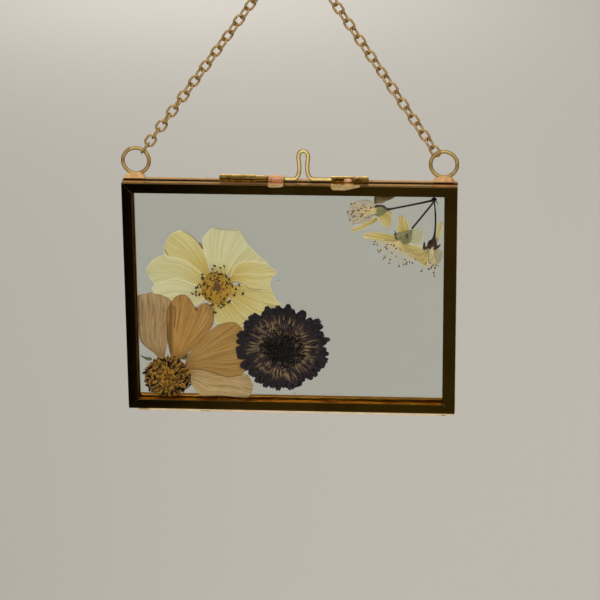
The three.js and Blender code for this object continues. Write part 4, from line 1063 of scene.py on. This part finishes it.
UPPER_ANTHERS = [(-47, -7.1), (-44.9, -2.4), (-43.1, -2.2), (-43.7, -6.4), (-44.3, -7.2), (-44.9, -8.4),
                 (-42.9, -9.4), (-43.9, -9.7),
                 (-45.8, -11.7), (-43.7, -13.8), (-39.5, -4.8), (-38.3, -3), (-41.4, -6.1), (-40.6, -5.9),
                 (-39.3, -8.1), (-39.7, -9.6),
                 (-38.9, -9.1), (-36.8, -6.5), (-37, -10), (-35.1, -6.2), (-35.5, -9.8), (-34.3, -4.5),
                 (-37.2, -4.1)]
MIDDLE_ANTHERS = [(-32, -23.8), (-32.6, -25.4), (-30.7, -25.6), (-29.9, -29.8), (-30.6, -28.7),
                  (-28.8, -28.9), (-26.3, -26.8),
                  (-25.5, -27.9), (-25.1, -25.5), (-23, -25.5), (-21.5, -25.4), (-27.3, -33.7),
                  (-26.7, -32.8), (-22.7, -30.3),
                  (-20.6, -32.3), (-23.8, -34.3), (-24.3, -36.2), (-18.9, -37.8), (-16.2, -36.9),
                  (-14.9, -36.6), (-15.6, -34),
                  (-14.5, -35.5), (-13.1, -35.3), (-11.6, -35.9), (-9.9, -33.9), (-20.4, -27.6),
                  (-21.7, -26.3)]
LOWER_ANTHERS = [(-2, -35.8), (-2.6, -39.3), (-1.5, -39.1), (0.2, -41.5), (0.6, -43.3), (2.7, -37.5),
                 (1, -38.6), (-0.3, -37.1),
                 (-6.5, -40.5), (-4.1, -35.6), (1.4, -37), (-1.1, -38)]
filament_pale = bit_skin("pale filament", (0.62, 0.47, 0.24), (0.55, 0.38, 0.17), (0.36, 0.18, 0.06))
random.seed(41)
anther = grain_of(1.15, 0.85, 0.45)
for name, root_at, tips in (("upper", (-31.6, -6.2), UPPER_ANTHERS),
                            ("middle", (-18.6, -24.4), MIDDLE_ANTHERS),
                            ("lower", (-0.6, -27.6), LOWER_ANTHERS)):
    runs, places = [], []
    for x, z in tips:
        sx, sz = root_at[0] + random.uniform(-0.8, 0.8), root_at[1] + random.uniform(-1.6, 1.6)
        bow = random.uniform(-0.09, 0.09)
        y = random.uniform(5.58, 5.7)
        runs.append([(SPRIG_AT[0] + sx + (x - sx) * t - bow * (z - sz) * t * (1 - t) * 2, 5.8 + (y - 5.8) * t,
                      SPRIG_AT[1] + sz + (z - sz) * t + bow * (x - sx) * t * (1 - t) * 2,
                      0.17 - 0.03 * t) for t in (0, 0.2, 0.4, 0.6, 0.8, 1)])
        places.append(lying(SPRIG_AT[0] + x, y, SPRIG_AT[1] + z, random.uniform(0, 180),
                            random.uniform(0.8, 1.2)))
    strands(f"{name}_filaments", runs, filament_pale, f"blossom_stamens_{name}")
    scattered(f"{name}_anthers", anther, places, anther_brown)
bpy.data.objects.remove(anther)

# ---- specks ----
# A few crumbs of pollen and petal that were shut in between the panes. They are loose, and as brown as
# the anthers.
random.seed(51)
places = [lying(x, 5.55, z, random.uniform(0, 180), size) for x, z, size in
          [(-6.7, 9.4, 0.5), (1.8, -57.6, 0.5), (-78, 21, 0.4), (-24, -44.5, 0.4), (31, -51, 0.3),
           (58, -38, 0.3), (-12, 46, 0.3)]]
scattered("specks", bean, places, anther_brown)
bpy.data.objects.remove(bean)

# ---- hanging rings ----
# Two rings of round brass wire, each standing in a pool of solder on the back half's top rail. The solder
# has run up round the wire, and it is pinker and duller than the brass.
# The edge colour is painted shade where the wire turns away from the view.
ring_brass = brass("ring brass", (0.98, 0.72, 0.28), (0.60, 0.34, 0.08), metallic=0.78,
                   edge=(0.22, 0.11, 0.02), Cloud_scale=260.0, Line_scale=1400.0, Polish=0.17, Wear=0.15,
                   Relief=0.25)
solder = brass("solder", (0.88, 0.52, 0.24), (0.52, 0.25, 0.09), metallic=0.6, Cloud_scale=500.0,
               Line_scale=700.0, Polish=0.5, Wear=0.2, Relief=0.7)


def melted(piece, cell, rounds):
    """One skin over all its parts, run together and smoothed as solder is."""
    alone(piece)
    skin_over = piece.modifiers.new("skin", "REMESH")
    skin_over.mode, skin_over.voxel_size = "VOXEL", cell * MM
    bpy.ops.object.modifier_apply(modifier="skin")
    flow = piece.modifiers.new("flow", "SMOOTH")
    flow.factor, flow.iterations = 0.5, rounds
    bpy.ops.object.modifier_apply(modifier="flow")
    bpy.ops.object.shade_smooth()
    return piece


def block(middle, size, tilt=0.0):
    """A block with its middle and its size in millimetres, tilted about X by an angle in radians."""
    cleared()
    bpy.ops.mesh.primitive_cube_add(size=1, location=spot(*middle), rotation=(tilt, 0, 0))
    bpy.context.object.scale = Vector(size) * MM
    return settled(bpy.context.object)


for side, x, shift in (("left", -84.2, -0.9), ("right", 83.8, 0)):
    cleared()
    bpy.ops.mesh.primitive_torus_add(major_segments=72, minor_segments=20, major_radius=7.2 * MM,
                                     minor_radius=1.06 * MM,
                                     location=spot(x, 9.4, 76.1), rotation=(math.radians(90), 0, 0))
    hoop = settled(bpy.context.object)
    foot = block((x + shift, 9.4, 67.45), (12, 2.6, 2.5))
    for vertex in foot.data.vertices:
        if vertex.co.z > spot(0, 0, 67.45).z:
            vertex.co.x += (spot(x, 0, 0).x - vertex.co.x) * 0.2
            vertex.co.y += (spot(x, 9.4, 0).y - vertex.co.y) * 0.3
    ring = melted(joined(f"ring_{side}_soldered", [foot, hoop]), 0.17, 9)
    dressed(ring, (ring_brass, solder), f"ring_{side}")
    for face in ring.data.polygons:
        face.material_index = int(face.center.z < spot(0, 0, 69.3).z)

# ---- clasp knuckles ----
# Barrels rolled from sheet round the spring wire. Each roll's edge comes back to the sheet and leaves a
# seam along the barrel. Their leaves are soldered to the top edges, and the front ones lap down over the
# face with coppery solder.
WIRE_DEPTH, WIRE_HEIGHT = 6.1, 67.75
rolled_brass = brass("rolled brass", (0.80, 0.53, 0.15), (0.34, 0.20, 0.04), Cloud_scale=330.0,
                     Line_scale=500.0, Polish=0.2, Wear=0.2, Relief=0.9)
lip_copper = brass("leaf lip", (0.52, 0.37, 0.18), (0.33, 0.21, 0.08), metallic=0.55, Cloud_scale=420.0,
                   Polish=0.4, Relief=0.7)
# The edge colour is painted shade where the surface turns away from the view.
copper = brass("coppery solder", (0.93, 0.55, 0.33), (0.62, 0.30, 0.13), metallic=0.7,
               edge=(0.55, 0.26, 0.11), Cloud_scale=420.0, Line_scale=600.0, Polish=0.3, Wear=0.15,
               Relief=0.8)


def ball(x, y, z, wide, deep, high):
    """A blob with these half sizes in millimetres."""
    cleared()
    bpy.ops.mesh.primitive_uv_sphere_add(segments=20, ring_count=12, radius=1, location=spot(x, y, z))
    bpy.context.object.scale = (wide * MM, deep * MM, high * MM)
    return settled(bpy.context.object)


def grooved(piece, cuts):
    """Thin cuts along X: x0, x1, barrel radius, angle above the front in degrees, width and depth."""
    for x0, x1, radius, angle, width, depth in cuts:
        a = math.radians(angle)
        middle = ((x0 + x1) / 2, WIRE_DEPTH - radius * math.cos(a), WIRE_HEIGHT + radius * math.sin(a))
        blade = block(middle, (x1 - x0, 2 * depth, width), -a)
        alone(piece)
        cut = piece.modifiers.new("cut", "BOOLEAN")
        cut.operation, cut.object, cut.solver = "DIFFERENCE", blade, "EXACT"
        bpy.ops.object.modifier_apply(modifier="cut")
        bpy.data.objects.remove(blade)
    alone(piece)
    bpy.ops.object.shade_smooth_by_angle(angle=math.radians(40))
    return piece


for node, half, cuts, skin, blobs in (
        ("back_knuckle_left", "back", [(-38.3, -11.0, 2.0, 24, 0.42, 0.6)], rolled_brass,
         [(-19.2, 6.3, 69.1, 1.2, 0.9, 0.55), (-12.9, 5.5, 69.2, 1.0, 0.7, 0.5)]),
        ("front_knuckle_left", "front", [], copper, [(-7.1, 4.6, 68.3, 3.6, 1.3, 1.1),
                                                     (-10.4, 4.4, 68.0, 1.1, 1.5, 1.4),
                                                     (-3.6, 4.5, 68.2, 1.1, 1.3, 1.2)]),
        ("front_knuckle_right", "front", [(22.8, 30.4, 1.8, 20, 0.4, 0.6)], rolled_brass,
         [(31.9, 4.7, 67.7, 2.5, 0.95, 1.2)]),
        ("back_knuckle_right", "back", [(36.4, 43.3, 1.8, 16, 0.8, 0.6)], rolled_brass,
         [(36.7, 5.3, 69.0, 0.8, 0.7, 0.55)])):
    knuckle = grooved(eased(node, 0.12), cuts)
    dressed(knuckle, (skin, lip_copper), node, half)
    for face in knuckle.data.polygons:
        face.material_index = int(face.center.y < spot(0, 0, 0).y)
    drops = joined(node + "_solder", [ball(*blob) for blob in blobs])
    bpy.ops.object.shade_smooth()
    dressed(drops, copper, None, half)

# ---- clasp wire ----
# One length of hard, polished spring wire bent into a hairpin, with an arm each way into the knuckles.
# Pinching the hairpin draws the arms in, out of the back half's knuckles.
# The edge colour is painted shade where the wire turns away from the view.
wire_gold = brass("spring wire", (0.99, 0.80, 0.33), (0.80, 0.56, 0.18), metallic=0.6,
                  edge=(0.14, 0.07, 0.01), Cloud_scale=300.0, Line_scale=1600.0, Polish=0.11, Wear=0.1,
                  Relief=0.15)
HALF_LOOP = [(-5.9, 0), (-4.8, 0.1), (-3.7, 0.75), (-2.85, 2), (-2.35, 3.8), (-2.15, 6.2), (-2.25, 9),
             (-2.6, 11.6), (-2.5, 13.7), (-1.5, 15.4)]
bend = HALF_LOOP + [(0, 15.95)] + [(-x, z) for x, z in reversed(HALF_LOOP)]
line = smooth_line([(7.65 + x, WIRE_HEIGHT + z) for x, z in bend], 110)
arms = [[(x, WIRE_HEIGHT) for x in xs] for xs in ((-13.1, -8, -2.6), (18, 28, 37.4))]
whole = arms[0] + [(p.x, p.y) for p in line] + arms[1]
wire = threads("clasp_hairpin", [[(x, WIRE_DEPTH, z, 1) for x, z in whole]], 1.12, 6)
bpy.ops.object.shade_smooth_by_angle(angle=math.radians(50))
dressed(wire, wire_gold, "clasp_wire", "clasp")

# ---- bottom hinges ----
# Two small leaves on each side of a pin, with rolled knuckles that take turns along it. The leaves are
# soldered flat under the bottom rails, so from the front only their edges show as thin strips.
hinge_brass = brass("hinge brass", (0.80, 0.56, 0.24), (0.50, 0.30, 0.09), metallic=0.7, Cloud_scale=200.0,
                    Polish=0.5, Wear=0.2, Relief=0.3)
for side in ("left", "right"):
    for node, half in (("back_hinge_leaf", "back"), ("front_hinge_leaf", "front"), ("hinge_pin", "back")):
        dressed(eased(f"{node}_{side}", 0.06), hinge_brass, f"{node}_{side}", half)

# ---- lower edge ----
# The lower front rail's sheet is folded under. Its face ends in a narrow fold, and below that a pale strip
# is a painted highlight for the folded lower edge, a little deeper in two short places.
lower_edge_highlight_brass = brass("bare lower edge", (0.78, 0.62, 0.42), (0.62, 0.45, 0.24), metallic=0.5, Cloud_scale=150.0,
                  Polish=0.5, Relief=0.2)
highlight_strips = [block(((x0 + x1) / 2, 0.1, (high + low) / 2), (x1 - x0, 0.16, high - low)) for x0, x1, high, low in
        ((-80, 90.8, -66.45, -67.55), (-50.5, -46, -67.2, -68.1), (84, 86.4, -67.2, -68.1))]
dressed(joined("bare_lower_edge", highlight_strips), lower_edge_highlight_brass, None, "front")
fold = block((0, 0.12, -66.1), (182.6, 0.1, 0.8))
fold.name = "face_lower_fold"
dressed(fold, sheet_brass, None, "front")

# ---- solder at the corners ----
# A thin bead is left in each front mitre, and drops stand at the lower right corner, inside and
# out. The solder is rougher than the brass that it joins.
mitre_solder = brass("mitre solder", (0.90, 0.66, 0.30), (0.60, 0.36, 0.12), Cloud_scale=500.0, Polish=0.25,
                     Relief=0.6)
WIDE, HIGH = 91.5, 66.0
runs = []
for sx, sz, across, up, share in ((-1, -1, 5.6, 5.0, 1.0), (1, -1, 7.1, 5.0, 0.3), (-1, 1, 5.6, 5.7, 0.3),
                                  (1, 1, 7.1, 5.7, 0.3)):
    outer = Vector((sx * (WIDE - 0.25), sz * (HIGH - 0.25)))
    inner = Vector((sx * (WIDE - across), sz * (HIGH - up)))
    ends = [outer.lerp(inner, 1 - share * (1 - k / 6)) for k in range(7)]
    runs.append([(p.x, 0.06, p.y, 0.13 + 0.03 * math.sin(k * 2.1)) for k, p in enumerate(ends)])
strands("mitre_beads", runs, mitre_solder, None, "front")
drops = joined("corner_drops", [ball(84.9, 0.3, -61.2, 1.1, 0.5, 0.8),
                                ball(90.2, 1.2, -65.75, 1.1, 0.8, 0.5)])
bpy.ops.object.shade_smooth()
dressed(drops, mitre_solder, None, "front")

# ---- floor and light ----
# A plain pale floor well below the frame and a pale room. A soft key stands near the front left, a wide
# lamp hangs over the floor behind, and dark studio flags in front are what the brass and the glass reflect.
cleared()
bpy.ops.mesh.primitive_circle_add(vertices=96, radius=14, fill_type="NGON", location=(0, 0, -1.1))
floor = settled(bpy.context.object)
floor.name = "floor"
floor.data.materials.append(finish_of("floor paper", Base_Color=(0.55, 0.53, 0.49, 1), Roughness=0.9)[0])


def soft_light(name, place, aim, width, height, power, tint, spread=180):
    lamp = bpy.data.lights.new(name, "AREA")
    lamp.shape, lamp.size, lamp.size_y, lamp.energy, lamp.color = "RECTANGLE", width, height, power, tint
    lamp.spread = math.radians(spread)
    light = bpy.data.objects.new(name, lamp)
    light.location = place
    light.rotation_euler = (Vector(aim) - Vector(place)).to_track_quat("-Z", "Y").to_euler()
    bpy.context.scene.collection.objects.link(light)
    return light


key = soft_light("key", (-0.42, -1.3, 0.46), (0, 0, -0.19), 0.9, 0.9, 6.1, (1, 0.97, 0.92), 54)
key.visible_glossy = False
soft_light("overhead", (-0.1, 2.8, 1.9), (-0.1, 2.8, -1.1), 3.0, 3.0, 60, (1, 0.98, 0.95))
soft_light("glow", (-0.62, 4.7, -0.1), (-0.62, 4.7, -1.1), 1.0, 1.0, 9.2, (1, 0.98, 0.95))
world = bpy.data.worlds.new("studio")
bpy.context.scene.world = world
world.use_nodes = True
room = world.node_tree.nodes["Background"]
room.inputs["Color"].default_value = (0.56, 0.535, 0.49, 1)
room.inputs["Strength"].default_value = 0.5

black, black_tree, black_shader = finish_of("flag cloth", Roughness=1.0, Specular_IOR_Level=0.0)
# The cloth pales from near black to dark olive right of about x = -0.3 m: painted light on the flags, which
# shows in the reflections in the brass and glass.
across = put(black_tree, "ShaderNodeSeparateXYZ", {0: put(black_tree,
                                                          "ShaderNodeTexCoord").outputs["Object"]}).outputs
fade = sums(black_tree, "MULTIPLY_ADD", across[1], -0.046, across[0])
flag_painted_light = slope(black_tree, fade, -0.235, -0.165)
black_tree.links.new(blend(black_tree, flag_painted_light, (0.003, 0.003, 0.003, 1), (0.078, 0.065, 0.032, 1)),
                     black_shader.inputs["Base Color"])


def flag(name, corners):
    """A dark card that only shows in reflections."""
    mesh = bpy.data.meshes.new(name)
    mesh.from_pydata(corners, [], [(0, 1, 2, 3)])
    mesh.materials.append(black)
    card = stood(name, mesh)
    card.visible_camera = card.visible_diffuse = card.visible_shadow = card.visible_transmission = False


flag("front_flag", [(-3.2, -0.4, -1.05), (3.2, -0.4, -1.05), (3.2, -3.4, -1.05), (-3.2, -3.4, -1.05)])
flag("far_flag", [(-3.2, -3.4, -1.05), (3.2, -3.4, -1.05), (3.2, -3.4, 0.8), (-3.2, -3.4, 0.8)])
flag("left_flag", [(-1.1, -3.4, -1.05), (-1.1, -3.4, 1.3), (-1.1, 4.6, 1.3), (-1.1, 4.6, -1.05)])
flag("under_flag", [(-1.1, -0.4, -1.06), (0.6, -0.4, -1.06), (0.6, 0.1, -1.06), (-1.1, 0.1, -1.06)])
